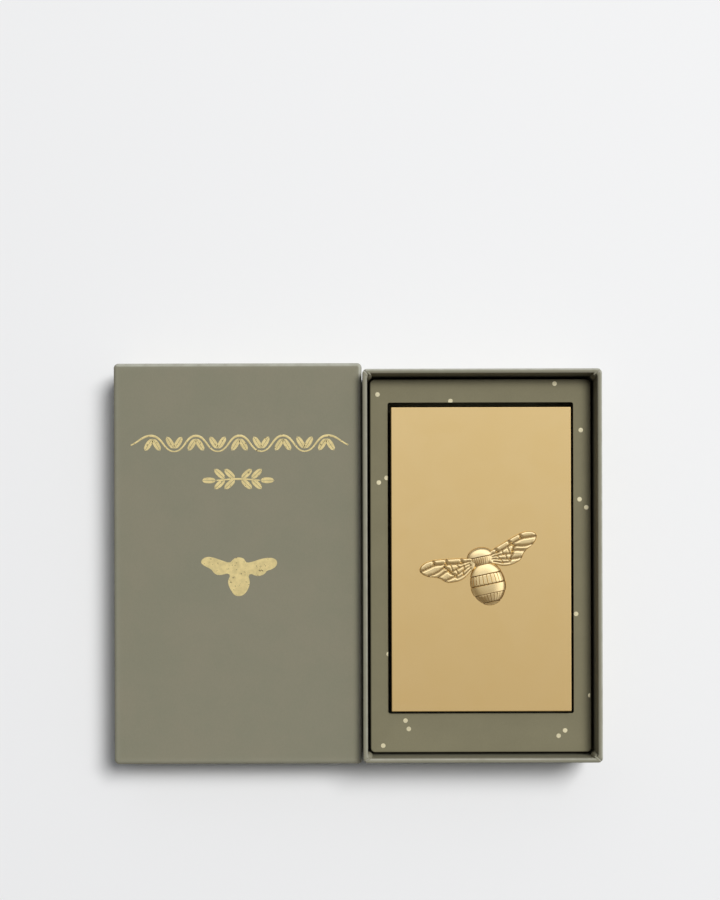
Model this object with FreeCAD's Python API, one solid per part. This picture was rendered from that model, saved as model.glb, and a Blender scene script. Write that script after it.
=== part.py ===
"""Matchbox holder: a metal sleeve round a match box, packed in a paper-covered presentation box.

Millimetres, +Z up. The origin is the centre of the base's underside. +X runs across the box and +Y along it,
towards the head of the bee. The lid lies open side down beside the base, on the -X side. Sizes are worked out
from the inside outwards: matches, drawer, cover, sleeve, platform, base, lid.
"""

import FreeCAD
import Part
import math
import os

# Matches
STICK_SIDE = 2.0
STICK_LENGTH = 99.0
HEAD_COAT = 0.3
HEAD_GRIP = 5.0
HEAD_TIP = 2.0
HEAD_HEEL = 0.3
HEAD_SHOULDER = 0.6
MATCH_GAP = 0.3
MATCH_REST_GAP = 0.05
MATCH_STAGGER = 0.5
MATCH_STAGGER_STEPS = 5
STAGGER_PER_COLUMN = 3
STAGGER_PER_LAYER = 2
FILL_HEIGHT = 11.4

# Drawer of the match box
TRAY_CARD = 0.6
TRAY_END_ROOM = 3.7
TRAY_SIDE_CLEARANCE = 0.25
TRAY_TOP_CLEARANCE = 0.4
TRAY_END_SETBACK = 0.2

# Cover of the match box
MATCHBOX_WIDTH = 65.0
MATCHBOX_HEIGHT = 20.0
COVER_CARD = 0.6
COVER_FOLD = 0.3
STRIKER_THICKNESS = 0.15
STRIKER_EDGE_MARGIN = 2.5
STRIKER_END_MARGIN = 3.0

# Metal sleeve
SHEET = 0.6
SLEEVE_SIDE_CLEARANCE = 0.2
SLEEVE_TOP_CLEARANCE = 0.4
SLEEVE_OVERHANG = 1.3
SLEEVE_BEND = 0.3
MATCHBOX_SHIFT = 1.0
WINDOW_RAIL = 4.3
WINDOW_END_MARGIN = 8.3
WINDOW_CORNER = 2.0
SEAM_WIDTH = 0.4
SEAM_DEPTH = 0.3

# Relief bee, drawn with its head towards +Y before its wings and its body are turned
BEE_ACROSS = -0.4
BEE_ALONG = 0.4
BEE_WING_TURN = 16.0
BEE_BODY_TURN = 12.0
BEE_BODY_SHIFT = 0.8
ABDOMEN_WIDTH = 13.0
ABDOMEN_LENGTH = 17.0
ABDOMEN_DROP = 10.0
ABDOMEN_HEIGHT = 1.9
ABDOMEN_ROUND = 1.2
THORAX_WIDTH = 9.2
THORAX_LENGTH = 7.4
THORAX_HEIGHT = 2.1
THORAX_ROUND = 1.3
BEE_HEAD_WIDTH = 6.4
BEE_HEAD_LENGTH = 4.0
BEE_HEAD_RISE = 2.2
BEE_HEAD_HEIGHT = 1.7
BEE_HEAD_ROUND = 1.0
WING_HEIGHT = 0.9
WING_ROUND = 0.25
FOREWING_ROOT = (2.6, -0.2)
FOREWING_ROOT_RADIUS = 1.3
FOREWING_TIP = (18.9, 1.4)
FOREWING_TIP_RADIUS = 3.5
HINDWING_ROOT = (3.2, -1.8)
HINDWING_ROOT_RADIUS = 1.2
HINDWING_TIP = (11.9, -4.1)
HINDWING_TIP_RADIUS = 2.8

# Card platform
PLATFORM_CARD = 0.6
PLATFORM_CORNER = 1.6
PLATFORM_FOLD = 0.5
SLEEVE_PROUD = 3.2
CUTOUT_SIDE_GAP = 1.2
CUTOUT_END_GAP = 1.5
CUTOUT_CORNER = 0.8
SIDE_MARGIN = 6.5
HEAD_MARGIN = 8.6
FOOT_MARGIN = 14.4
SLEEVE_SLIP = 0.5

# Board, paper and tape that both halves of the presentation box are made of
BOARD = 1.2
BOARD_CORNER = 1.4
BOARD_PANEL_EDGE = 1.2
BOARD_RIM_EDGE = 0.35
WRAP = 0.2
STAY_TAPE = 0.15
STAY_LEG = 14.0
LINING = 0.2
LINING_MARGIN = 0.6
TURN_IN_STOP = 0.5
TURN_IN_CORNER = 2.2

# Base and lid
PLATFORM_GAP = 1.12
RIM_RISE = 10.0
LID_HEIGHT = 23.0
LID_CLEARANCE = 0.3
LID_GAP = 0.25
LID_SHIFT = 1.0

# Share of a wall that a rounding on it may take, and the tolerance for finding level edges
ROUND_LIMIT = 0.85
LEVEL_TOLERANCE = 0.001

# Sizes that follow, from the inside outwards
HEAD_RADIUS = STICK_SIDE * math.sqrt(0.5) + HEAD_COAT
HEAD_LENGTH = HEAD_GRIP + HEAD_TIP
MATCH_PITCH = 2 * HEAD_RADIUS + MATCH_GAP
MATCH_SWAY = MATCH_STAGGER * (MATCH_STAGGER_STEPS - 1) / 2
TRAY_LENGTH = STICK_LENGTH + HEAD_TIP + 2 * (TRAY_END_ROOM + TRAY_CARD)
TRAY_WIDTH = MATCHBOX_WIDTH - 2 * (STRIKER_THICKNESS + COVER_CARD + TRAY_SIDE_CLEARANCE)
TRAY_HEIGHT = MATCHBOX_HEIGHT - 2 * COVER_CARD - TRAY_TOP_CLEARANCE
TRAY_FOLD = COVER_FOLD + TRAY_SIDE_CLEARANCE
MATCHBOX_LENGTH = TRAY_LENGTH + 2 * TRAY_END_SETBACK
SLEEVE_WIDTH = MATCHBOX_WIDTH + 2 * (SLEEVE_SIDE_CLEARANCE + SHEET)
SLEEVE_LENGTH = MATCHBOX_LENGTH + 2 * SLEEVE_OVERHANG
SLEEVE_HEIGHT = MATCHBOX_HEIGHT + SLEEVE_TOP_CLEARANCE + 2 * SHEET
CUTOUT_WIDTH = SLEEVE_WIDTH + 2 * CUTOUT_SIDE_GAP
CUTOUT_LENGTH = SLEEVE_LENGTH + 2 * CUTOUT_END_GAP
PLATFORM_WIDTH = CUTOUT_WIDTH + 2 * SIDE_MARGIN
PLATFORM_LENGTH = CUTOUT_LENGTH + HEAD_MARGIN + FOOT_MARGIN
PLATFORM_HEIGHT = SLEEVE_HEIGHT - SLEEVE_PROUD
SKIN = WRAP + STAY_TAPE
BOX_WALL = SKIN + BOARD + WRAP
BOX_CORNER = BOARD_CORNER + SKIN
BOX_PANEL_EDGE = BOARD_PANEL_EDGE + SKIN
BOX_RIM_EDGE = BOARD_RIM_EDGE + SKIN
FLOOR_Z = WRAP + BOARD + LINING
BASE_WIDTH = PLATFORM_WIDTH + 2 * (PLATFORM_GAP + BOX_WALL)
BASE_LENGTH = PLATFORM_LENGTH + 2 * (PLATFORM_GAP + BOX_WALL)
BASE_HEIGHT = FLOOR_Z + PLATFORM_HEIGHT + RIM_RISE
LID_WIDTH = BASE_WIDTH + 2 * (LID_CLEARANCE + BOX_WALL)
LID_LENGTH = BASE_LENGTH + 2 * (LID_CLEARANCE + BOX_WALL)

# Places that follow from those sizes
DECK_Z = FLOOR_Z + PLATFORM_HEIGHT
SLEEVE_TOP_Z = FLOOR_Z + SLEEVE_HEIGHT
CUTOUT_Y = (FOOT_MARGIN - HEAD_MARGIN) / 2
SLEEVE_Y = CUTOUT_Y - SLEEVE_SLIP
MATCHBOX_Y = SLEEVE_Y - MATCHBOX_SHIFT
MATCHBOX_Z = FLOOR_Z + SHEET
TRAY_Z = MATCHBOX_Z + COVER_CARD
STICK_Y = MATCHBOX_Y - HEAD_TIP / 2
LID_X = -(BASE_WIDTH / 2 + LID_GAP + LID_WIDTH / 2)

ORIGIN = FreeCAD.Vector(0, 0, 0)
ACROSS = FreeCAD.Vector(1, 0, 0)
ALONG = FreeCAD.Vector(0, 1, 0)
UP = FreeCAD.Vector(0, 0, 1)


def block(width, length, height, x=0.0, y=0.0, z=0.0):
    """Box centred on x and y that stands on z."""
    corner = FreeCAD.Vector(x - width / 2, y - length / 2, z)
    return Part.makeBox(width, length, height, corner)


def level_edges(shape, z):
    """Edges of a shape that lie flat at height z."""
    found = []
    for edge in shape.Edges:
        bounds = edge.BoundBox
        if abs(bounds.ZMin - z) < LEVEL_TOLERANCE and abs(bounds.ZMax - z) < LEVEL_TOLERANCE:
            found.append(edge)
    return found


def rounded_plate(width, length, thickness, radius):
    """Plate centred on the Z axis, standing on z = 0, with its four upright corners rounded."""
    plate = block(width, length, thickness)
    upright = [edge for edge in plate.Edges if edge.BoundBox.ZLength > thickness / 2]
    return plate.makeFillet(radius, upright)


def soft_block(width, length, height, corner, panel_edge, rim_edge):
    """Block with rounded upright corners, rounded more round its bottom panel than round its rim."""
    plate = rounded_plate(width, length, height, corner)
    plate = plate.makeFillet(panel_edge, level_edges(plate, 0.0))
    return plate.makeFillet(rim_edge, level_edges(plate, height))


def folded_tube(width, height, length, inner_fold, thickness):
    """Rectangular tube along Y, standing on z = 0, folded round an inner radius."""
    outside = rounded_plate(width, height, length, inner_fold + thickness)
    inside = rounded_plate(width - 2 * thickness, height - 2 * thickness, length, inner_fold)
    profile = outside.cut(inside)
    profile.rotate(ORIGIN, ACROSS, 90)
    profile.translate(FreeCAD.Vector(0, length / 2, height / 2))
    return profile


def tray_board(width, length, height, hollow):
    """Grey board tray inside the paper, given the room inside it."""
    outline = soft_block(
        width - 2 * SKIN,
        length - 2 * SKIN,
        height - 2 * WRAP,
        BOARD_CORNER,
        BOARD_PANEL_EDGE,
        BOARD_RIM_EDGE,
    )
    outline.translate(UP * WRAP)
    return outline.cut(block(*hollow, height, z=WRAP + BOARD))


def tray_corner_stays(width, length, height):
    """Tape round the four upright corners, between the board and the paper."""
    tape_height = height - 2 * WRAP - BOX_PANEL_EDGE - BOX_RIM_EDGE
    outside = rounded_plate(width - 2 * WRAP, length - 2 * WRAP, tape_height, BOARD_CORNER + STAY_TAPE)
    skin = outside.cut(rounded_plate(width - 2 * SKIN, length - 2 * SKIN, tape_height, BOARD_CORNER))
    leg = BOX_CORNER + STAY_LEG
    stays = []
    for side in (-1, 1):
        for end in (-1, 1):
            reach = block(leg, leg, tape_height, side * (width - leg) / 2, end * (length - leg) / 2)
            stays.append(skin.common(reach))
    stays = Part.makeCompound(stays)
    stays.translate(UP * (WRAP + BOX_PANEL_EDGE))
    return stays


def tray_wrap(width, length, height, hollow):
    """Paper over the outside and the rim, turned in down the inside and bunched in the inner corners."""
    wrap = soft_block(width, length, height, BOX_CORNER, BOX_PANEL_EDGE, BOX_RIM_EDGE)
    inside = soft_block(
        width - 2 * WRAP,
        length - 2 * WRAP,
        height - 2 * WRAP,
        BOARD_CORNER + STAY_TAPE,
        BOARD_PANEL_EDGE + STAY_TAPE,
        BOARD_RIM_EDGE + STAY_TAPE,
    )
    inside.translate(UP * WRAP)
    wall_space = inside.cut(block(*hollow, height))
    mouth = rounded_plate(hollow[0] - 2 * WRAP, hollow[1] - 2 * WRAP, height, TURN_IN_CORNER)
    mouth.translate(UP * WRAP)
    floor_space = block(*hollow, BOARD + LINING + TURN_IN_STOP, z=WRAP)
    return wrap.cut(mouth).cut(wall_space).cut(floor_space)


def rigid_tray(width, length, height):
    """Pieces of a paper-covered board tray that stands open side up on z = 0."""
    hollow = (width - 2 * (SKIN + BOARD), length - 2 * (SKIN + BOARD))
    lining_size = (hollow[0] - 2 * LINING_MARGIN, hollow[1] - 2 * LINING_MARGIN)
    return {
        "board": tray_board(width, length, height, hollow),
        "corner_stays": tray_corner_stays(width, length, height),
        "wrap": tray_wrap(width, length, height, hollow),
        "lining": block(*lining_size, LINING, z=WRAP + BOARD),
    }


def base_pieces():
    """Base of the presentation box, standing on the origin."""
    tray = rigid_tray(BASE_WIDTH, BASE_LENGTH, BASE_HEIGHT)
    return {f"base_{name}": shape for name, shape in tray.items()}


def lid_pieces():
    """Lid of the presentation box, lying open side down beside the base."""
    tray = rigid_tray(LID_WIDTH, LID_LENGTH, LID_HEIGHT)
    for shape in tray.values():
        shape.rotate(ORIGIN, ALONG, 180)
        shape.translate(FreeCAD.Vector(LID_X, LID_SHIFT, LID_HEIGHT))
    return {f"lid_{name}": shape for name, shape in tray.items()}


def platform_card():
    """Folded card: a deck with the sleeve's cut-out and four skirts that stand on the base's floor."""
    deck = rounded_plate(PLATFORM_WIDTH, PLATFORM_LENGTH, PLATFORM_CARD, PLATFORM_CORNER)
    fold = min(PLATFORM_FOLD, PLATFORM_CARD * ROUND_LIMIT)
    deck = deck.makeFillet(fold, level_edges(deck, PLATFORM_CARD))
    cutout = rounded_plate(CUTOUT_WIDTH, CUTOUT_LENGTH, PLATFORM_CARD, CUTOUT_CORNER)
    cutout.translate(ALONG * CUTOUT_Y)
    deck = deck.cut(cutout)
    deck.translate(UP * (DECK_Z - PLATFORM_CARD))
    skirt_height = PLATFORM_HEIGHT - PLATFORM_CARD
    long_skirt = PLATFORM_LENGTH - 2 * PLATFORM_CORNER
    short_skirt = PLATFORM_WIDTH - 2 * PLATFORM_CORNER
    skirts = []
    for side in (-1, 1):
        x = side * (PLATFORM_WIDTH - PLATFORM_CARD) / 2
        y = side * (PLATFORM_LENGTH - PLATFORM_CARD) / 2
        skirts.append(block(PLATFORM_CARD, long_skirt, skirt_height, x=x, z=FLOOR_Z))
        skirts.append(block(short_skirt, PLATFORM_CARD, skirt_height, y=y, z=FLOOR_Z))
    return deck.multiFuse(skirts).removeSplitter()


def sleeve_shell():
    """Metal sheet folded into a sleeve open at both ends, with a striker window and a seam underneath."""
    shell = folded_tube(SLEEVE_WIDTH, SLEEVE_HEIGHT, SLEEVE_LENGTH, SLEEVE_BEND, SHEET)
    window_height = SLEEVE_HEIGHT - 2 * WINDOW_RAIL
    window_length = SLEEVE_LENGTH - 2 * WINDOW_END_MARGIN
    window = rounded_plate(window_height, window_length, SLEEVE_WIDTH / 2, WINDOW_CORNER)
    window.rotate(ORIGIN, ALONG, 90)
    window.translate(UP * (SLEEVE_HEIGHT / 2))
    seam = block(SEAM_WIDTH, SLEEVE_LENGTH, min(SEAM_DEPTH, SHEET * ROUND_LIMIT))
    shell = shell.cut(window).cut(seam)
    shell.translate(FreeCAD.Vector(0, SLEEVE_Y, FLOOR_Z))
    return shell


def oval_boss(width, length, height, y, rounding):
    """Oval pad of the relief, with its top edge rounded."""
    centre = FreeCAD.Vector(0, y, 0)
    end = FreeCAD.Vector(0, y + length / 2, 0)
    flank = FreeCAD.Vector(-width / 2, y, 0)
    if width < length:
        curve = Part.Ellipse(end, flank, centre)
    else:
        curve = Part.Ellipse(flank, end, centre)
    pad = Part.Face(Part.Wire([curve.toShape()])).extrude(UP * height)
    if pad.BoundBox.ZMin < -LEVEL_TOLERANCE:
        pad.translate(UP * height)
    tightest_bend = curve.MinorRadius**2 / curve.MajorRadius
    radius = min(rounding, ROUND_LIMIT * height, ROUND_LIMIT * tightest_bend)
    return pad.makeFillet(radius, level_edges(pad, height))


def wing_boss(root, root_radius, tip, tip_radius, side):
    """Wing of the relief: a lobe that widens from its root to its tip."""
    start = FreeCAD.Vector(side * root[0], root[1], 0)
    end = FreeCAD.Vector(side * tip[0], tip[1], 0)
    run = end - start
    heading = math.atan2(run.y, run.x)
    spread = math.acos((root_radius - tip_radius) / run.Length)

    def rim(centre, radius, angle):
        """Point on a circle at an angle from +X."""
        return centre + FreeCAD.Vector(math.cos(angle), math.sin(angle), 0) * radius

    root_left = rim(start, root_radius, heading + spread)
    root_right = rim(start, root_radius, heading - spread)
    tip_left = rim(end, tip_radius, heading + spread)
    tip_right = rim(end, tip_radius, heading - spread)
    edges = [
        Part.LineSegment(root_left, tip_left).toShape(),
        Part.Arc(tip_left, rim(end, tip_radius, heading), tip_right).toShape(),
        Part.LineSegment(tip_right, root_right).toShape(),
        Part.Arc(root_right, rim(start, root_radius, heading + math.pi), root_left).toShape(),
    ]
    lobe = Part.Face(Part.Wire(edges)).extrude(UP * WING_HEIGHT)
    rounding = min(WING_ROUND, ROUND_LIMIT * WING_HEIGHT)
    return lobe.makeFillet(rounding, level_edges(lobe, WING_HEIGHT))


def bee_emblem():
    """Relief bee near the middle of the sleeve's top, its wings turned a little more than its body."""
    abdomen = oval_boss(ABDOMEN_WIDTH, ABDOMEN_LENGTH, ABDOMEN_HEIGHT, -ABDOMEN_DROP, ABDOMEN_ROUND)
    thorax = oval_boss(THORAX_WIDTH, THORAX_LENGTH, THORAX_HEIGHT, 0.0, THORAX_ROUND)
    head = oval_boss(BEE_HEAD_WIDTH, BEE_HEAD_LENGTH, BEE_HEAD_HEIGHT, BEE_HEAD_RISE, BEE_HEAD_ROUND)
    wings = []
    for side in (-1, 1):
        wings.append(wing_boss(FOREWING_ROOT, FOREWING_ROOT_RADIUS, FOREWING_TIP, FOREWING_TIP_RADIUS, side))
        wings.append(wing_boss(HINDWING_ROOT, HINDWING_ROOT_RADIUS, HINDWING_TIP, HINDWING_TIP_RADIUS, side))
    body = abdomen.multiFuse([thorax, head])
    body.rotate(ORIGIN, UP, BEE_BODY_TURN)
    body.translate(ACROSS * BEE_BODY_SHIFT)
    for wing in wings:
        wing.rotate(ORIGIN, UP, BEE_WING_TURN)
    bee = body.multiFuse(wings)
    bee.translate(FreeCAD.Vector(BEE_ACROSS, SLEEVE_Y + BEE_ALONG, SLEEVE_TOP_Z))
    return bee


def matchbox_cover():
    """Card cover of the match box, open at both ends and lying on the sleeve's floor."""
    width = MATCHBOX_WIDTH - 2 * STRIKER_THICKNESS
    cover = folded_tube(width, MATCHBOX_HEIGHT, MATCHBOX_LENGTH, COVER_FOLD, COVER_CARD)
    cover.translate(FreeCAD.Vector(0, MATCHBOX_Y, MATCHBOX_Z))
    return cover


def striker_strips():
    """Striking strips on both long sides of the cover."""
    x = (MATCHBOX_WIDTH - STRIKER_THICKNESS) / 2
    z = MATCHBOX_Z + STRIKER_EDGE_MARGIN
    length = MATCHBOX_LENGTH - 2 * STRIKER_END_MARGIN
    height = MATCHBOX_HEIGHT - 2 * STRIKER_EDGE_MARGIN
    strips = []
    for side in (-1, 1):
        strips.append(block(STRIKER_THICKNESS, length, height, side * x, MATCHBOX_Y, z))
    return Part.makeCompound(strips)


def drawer_tray():
    """Open card tray that slides in the cover and lies on its floor, clear of the cover's inner folds."""
    outside = block(TRAY_WIDTH, TRAY_LENGTH, TRAY_HEIGHT, y=MATCHBOX_Y, z=TRAY_Z)
    folds = [edge for edge in level_edges(outside, TRAY_Z) if edge.BoundBox.YLength > TRAY_LENGTH / 2]
    outside = outside.makeFillet(TRAY_FOLD, folds)
    hollow = (TRAY_WIDTH - 2 * TRAY_CARD, TRAY_LENGTH - 2 * TRAY_CARD)
    return outside.cut(block(*hollow, TRAY_HEIGHT, y=MATCHBOX_Y, z=TRAY_Z + TRAY_CARD))


def match_places():
    """Middle of each stick, in rows across the tray and in layers, with their ends a little uneven."""
    columns = int((TRAY_WIDTH - 2 * TRAY_CARD - MATCH_GAP) / MATCH_PITCH)
    layers = int(FILL_HEIGHT / MATCH_PITCH)
    lowest = TRAY_Z + TRAY_CARD + MATCH_REST_GAP + HEAD_RADIUS
    places = []
    for layer in range(layers):
        for column in range(columns):
            x = (column - (columns - 1) / 2) * MATCH_PITCH
            step = (column * STAGGER_PER_COLUMN + layer * STAGGER_PER_LAYER) % MATCH_STAGGER_STEPS
            y = STICK_Y + step * MATCH_STAGGER - MATCH_SWAY
            places.append(FreeCAD.Vector(x, y, lowest + layer * MATCH_PITCH))
    return places


def match_sticks():
    """Square wooden sticks."""
    sticks = []
    for place in match_places():
        z = place.z - STICK_SIDE / 2
        sticks.append(block(STICK_SIDE, STICK_LENGTH, STICK_SIDE, place.x, place.y, z))
    return Part.makeCompound(sticks)


def match_head():
    """Head round a stick's end, along +Y from its heel at the origin, with a pocket for the stick."""
    straight = HEAD_LENGTH - HEAD_RADIUS
    diagonal = HEAD_RADIUS * math.sqrt(0.5)
    heel = FreeCAD.Vector(HEAD_RADIUS - HEAD_HEEL, 0, 0)
    shoulder = FreeCAD.Vector(HEAD_RADIUS, HEAD_SHOULDER, 0)
    cheek = FreeCAD.Vector(HEAD_RADIUS, straight, 0)
    crown = FreeCAD.Vector(diagonal, straight + diagonal, 0)
    tip = FreeCAD.Vector(0, HEAD_LENGTH, 0)
    edges = [
        Part.LineSegment(ORIGIN, heel).toShape(),
        Part.LineSegment(heel, shoulder).toShape(),
        Part.LineSegment(shoulder, cheek).toShape(),
        Part.Arc(cheek, crown, tip).toShape(),
        Part.LineSegment(tip, ORIGIN).toShape(),
    ]
    solid = Part.Face(Part.Wire(edges)).revolve(ORIGIN, ALONG, 360)
    return solid.cut(block(STICK_SIDE, HEAD_GRIP, STICK_SIDE, y=HEAD_GRIP / 2, z=-STICK_SIDE / 2))


def match_heads():
    """Heads on the +Y ends of the sticks."""
    head = match_head()
    heads = []
    for place in match_places():
        copy = head.copy()
        copy.translate(FreeCAD.Vector(place.x, place.y + STICK_LENGTH / 2 - HEAD_GRIP, place.z))
        heads.append(copy)
    return Part.makeCompound(heads)


def all_pieces():
    """Every piece of the set, by the name of its node."""
    pieces = base_pieces()
    pieces.update(lid_pieces())
    pieces["platform_card"] = platform_card()
    pieces["sleeve_shell"] = sleeve_shell()
    pieces["bee_emblem"] = bee_emblem()
    pieces["matchbox_cover"] = matchbox_cover()
    pieces["striker_strips"] = striker_strips()
    pieces["drawer_tray"] = drawer_tray()
    pieces["match_sticks"] = match_sticks()
    pieces["match_heads"] = match_heads()
    return pieces


os.makedirs("parts", exist_ok=True)
for node, shape in all_pieces().items():
    shape.exportStep(f"parts/{node}.step")
    print(node, "solids", len(shape.Solids), "volume", round(shape.Volume, 2), "valid", shape.isValid())
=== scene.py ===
"""Looks of the matchbox holder: a gold sleeve with a relief bee, in a paper-covered presentation box.

Metres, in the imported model's frame, unless a docstring says millimetres. Each sub-assembly is a class that
models its pieces, dresses them and gives them to the body that they move with. Each finish is a small frozen
class that makes one material.
"""

import logging
import math
from contextlib import contextmanager
from dataclasses import dataclass, field
from enum import Enum, IntEnum
from functools import cache
from itertools import product
from typing import Any, Callable, Iterator, Sequence

import bmesh
import bpy
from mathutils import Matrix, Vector
from mathutils.geometry import intersect_point_line


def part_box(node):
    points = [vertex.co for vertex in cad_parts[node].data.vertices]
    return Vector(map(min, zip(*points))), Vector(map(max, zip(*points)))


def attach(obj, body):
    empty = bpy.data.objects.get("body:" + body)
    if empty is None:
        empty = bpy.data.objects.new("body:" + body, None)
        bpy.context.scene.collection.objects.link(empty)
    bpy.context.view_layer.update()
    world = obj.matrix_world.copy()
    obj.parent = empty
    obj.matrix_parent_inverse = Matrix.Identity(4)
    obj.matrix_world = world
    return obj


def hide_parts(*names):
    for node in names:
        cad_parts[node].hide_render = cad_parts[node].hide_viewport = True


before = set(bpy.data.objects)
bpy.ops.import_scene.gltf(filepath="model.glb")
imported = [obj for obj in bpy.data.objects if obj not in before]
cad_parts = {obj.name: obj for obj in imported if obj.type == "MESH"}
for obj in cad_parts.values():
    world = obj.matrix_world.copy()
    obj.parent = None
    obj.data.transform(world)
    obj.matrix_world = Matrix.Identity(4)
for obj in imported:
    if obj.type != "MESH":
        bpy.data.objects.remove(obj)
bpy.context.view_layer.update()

log = logging.getLogger("matchbox_holder")

MM = 0.001
HALF_TURN = 180.0

# How near to a height a point counts as at it, from what angle an edge is a fold, and from what part of its
# normal along an axis a face looks that way.
FLATNESS = 0.01 * MM
FOLD_ANGLE = 1.0
FACING = 0.9

# How a finished piece is cut, from what place its points are counted (off every plane of symmetry, so that
# mirrored points differ), and how it is rounded at its sharp edges and shaded.
CUT_TOLERANCE = 0.0001 * MM
COUNT_FROM = (0.1013, 0.2027, 0.3041)
SHARP_ANGLE = math.radians(55)
SOFT_STEPS = 2
SMOOTH_ANGLE = math.radians(38)
FACE_WEIGHT = 50

# Name of the attribute that marks how much shade is painted in the hollows of metal.
HOLLOW_SHADE = "hollow"

# Ranges: up, down, and those that a noise texture's values mostly lie in.
RISE = (0.0, 1.0)
FALL = (1.0, 0.0)
NOISE = (0.3, 0.7)
GRIT = (0.35, 0.7)

Triple = tuple[float, float, float]
Pair = tuple[float, float]
Colour = tuple[float, float, float, float]
Corner = Sequence[float]
Edge = bmesh.types.BMEdge
Socket = bpy.types.NodeSocket
Values = dict[str | int, Any]
PointTest = Callable[[Vector], bool]
EdgeTest = Callable[[Edge], bool]
FaceTest = Callable[[Vector, Vector], bool]


class Axis(IntEnum):
    """An axis, by its place in a vector."""

    X = 0
    Y = 1
    Z = 2


def paint(red: int, green: int, blue: int) -> Colour:
    """Turns a colour as a screen shows it into the linear colour that a shader takes.

    Args:
        red: Red, from 0 to 255.
        green: Green, from 0 to 255.
        blue: Blue, from 0 to 255.

    Returns:
        The linear colour, with an alpha of 1.
    """

    def linear(level: int) -> float:
        """Linear value of one channel, by the sRGB curve."""
        share = level / 255
        return share / 12.92 if share <= 0.04045 else ((share + 0.055) / 1.055) ** 2.4

    return (linear(red), linear(green), linear(blue), 1.0)


def shade(colour: Colour, share: float) -> Colour:
    """The same colour with only a share of its light."""
    return (*(share * level for level in colour[:3]), 1.0)


def span(edge: Edge, axis: Axis) -> float:
    """How far an edge reaches along an axis."""
    start, end = edge.verts
    return abs(start.co[axis] - end.co[axis])


def is_fold(edge: Edge, height: float) -> bool:
    """Whether an edge lies level at a height and is sharp."""
    level = all(abs(point.co.z - height) < FLATNESS for point in edge.verts)
    return level and edge.calc_face_angle(0.0) > FOLD_ANGLE


def inset(point: Vector, low: Vector, high: Vector) -> Pair:
    """How far a point lies inside the sides of a box, across and along."""
    across, along = (min(point[axis] - low[axis], high[axis] - point[axis]) for axis in (Axis.X, Axis.Y))
    return across, along


class NodeSheet:
    """A node tree being laid out, with short calls for adding and joining nodes."""

    MIX_INPUTS = (0, 6, 7)
    MIX_RESULT = 2
    PLAIN_RESULTS = ("LENGTH", "DOT_PRODUCT")

    def __init__(self, tree: bpy.types.NodeTree) -> None:
        """Takes hold of a tree."""
        self.tree = tree

    def feed(self, node: bpy.types.Node, values: Values) -> None:
        """Links outputs to a node's inputs, or sets the inputs to plain values.

        Args:
            node: The node.
            values: An output or a plain value for each input, by the input's name or number.
        """
        for key, value in values.items():
            if isinstance(value, Socket):
                self.tree.links.new(value, node.inputs[key])
            else:
                node.inputs[key].default_value = value

    def add(self, kind: str, values: Values | None = None, **settings: Any) -> bpy.types.Node:
        """Adds a node.

        Args:
            kind: Blender's name for the kind of node.
            values: What its inputs are fed with, by name or number.
            **settings: Properties of the node to set.

        Returns:
            The new node.
        """
        node = self.tree.nodes.new(kind)
        for name, value in settings.items():
            setattr(node, name, value)
        self.feed(node, values or {})
        return node

    def sum_up(self, operation: str, *values: Any) -> Socket:
        """Result of a Math node that is fed in order."""
        return self.add("ShaderNodeMath", dict(enumerate(values)), operation=operation).outputs[0]

    def vector(self, operation: str, *values: Any) -> Socket:
        """Result of a Vector Math node that is fed in order."""
        node = self.add("ShaderNodeVectorMath", dict(enumerate(values)), operation=operation)
        return node.outputs["Value" if operation in self.PLAIN_RESULTS else "Vector"]

    def split(self, place: Any) -> Sequence[Socket]:
        """The X, Y and Z of a vector."""
        return list(self.add("ShaderNodeSeparateXYZ", {0: place}).outputs)

    def mingle(self, first: Any, second: Any, share: float) -> Socket:
        """Two values added up, with a share of the second."""
        parts = (self.sum_up("MULTIPLY", first, 1.0 - share), self.sum_up("MULTIPLY", second, share))
        return self.sum_up("ADD", *parts)

    def spread(self, value: Any, source: Pair, target: Pair = RISE) -> Socket:
        """Maps a value smoothly from one range to another.

        Args:
            value: The output to map.
            source: The range that it comes from, from its start to its end.
            target: What the start and the end become.

        Returns:
            The mapped value's socket.
        """
        names = ("Value", "From Min", "From Max", "To Min", "To Max")
        values = dict(zip(names, (value, *source, *target)))
        return self.add("ShaderNodeMapRange", values, interpolation_type="SMOOTHSTEP").outputs["Result"]

    def blend(self, share: Any, first: Any, second: Any) -> Socket:
        """Mix of two colours, with a share of the second."""
        values = dict(zip(self.MIX_INPUTS, (share, first, second)))
        return self.add("ShaderNodeMix", values, data_type="RGBA").outputs[self.MIX_RESULT]

    def noise(self, place: Any, scale: Any, octaves: float, rough: float = 0.5, swirl: float = 0.0) -> Socket:
        """Adds a noise texture.

        Args:
            place: Coordinates.
            scale: Repeats per metre.
            octaves: How many finer and finer layers it has.
            rough: How strong the finer ones are.
            swirl: Distortion.

        Returns:
            The noise's value, about 0.5 on average.
        """
        names = ("Vector", "Scale", "Detail", "Roughness", "Distortion")
        values = dict(zip(names, (place, scale, octaves, rough, swirl)))
        return self.add("ShaderNodeTexNoise", values).outputs["Fac"]

    def here(self) -> Socket:
        """Object coordinates of the point being shaded."""
        return self.add("ShaderNodeTexCoord").outputs["Object"]

    def lean(self, towards: Triple) -> Socket:
        """How far the surface being shaded leans towards a direction, from -1 to 1."""
        return self.vector("DOT_PRODUCT", self.add("ShaderNodeTexCoord").outputs["Normal"], towards)

    def effect(self, group: bpy.types.NodeTree, **inputs: Any) -> Any:
        """Outputs of a shared effect that is fed by name."""
        return self.add("ShaderNodeGroup", inputs, node_tree=group).outputs

    def relief(self, height: Any, depth: float) -> Socket:
        """Normal roughened by a height, to a depth in metres."""
        values = {"Strength": 1.0, "Distance": depth, "Height": height}
        return self.add("ShaderNodeBump", values).outputs["Normal"]


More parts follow.
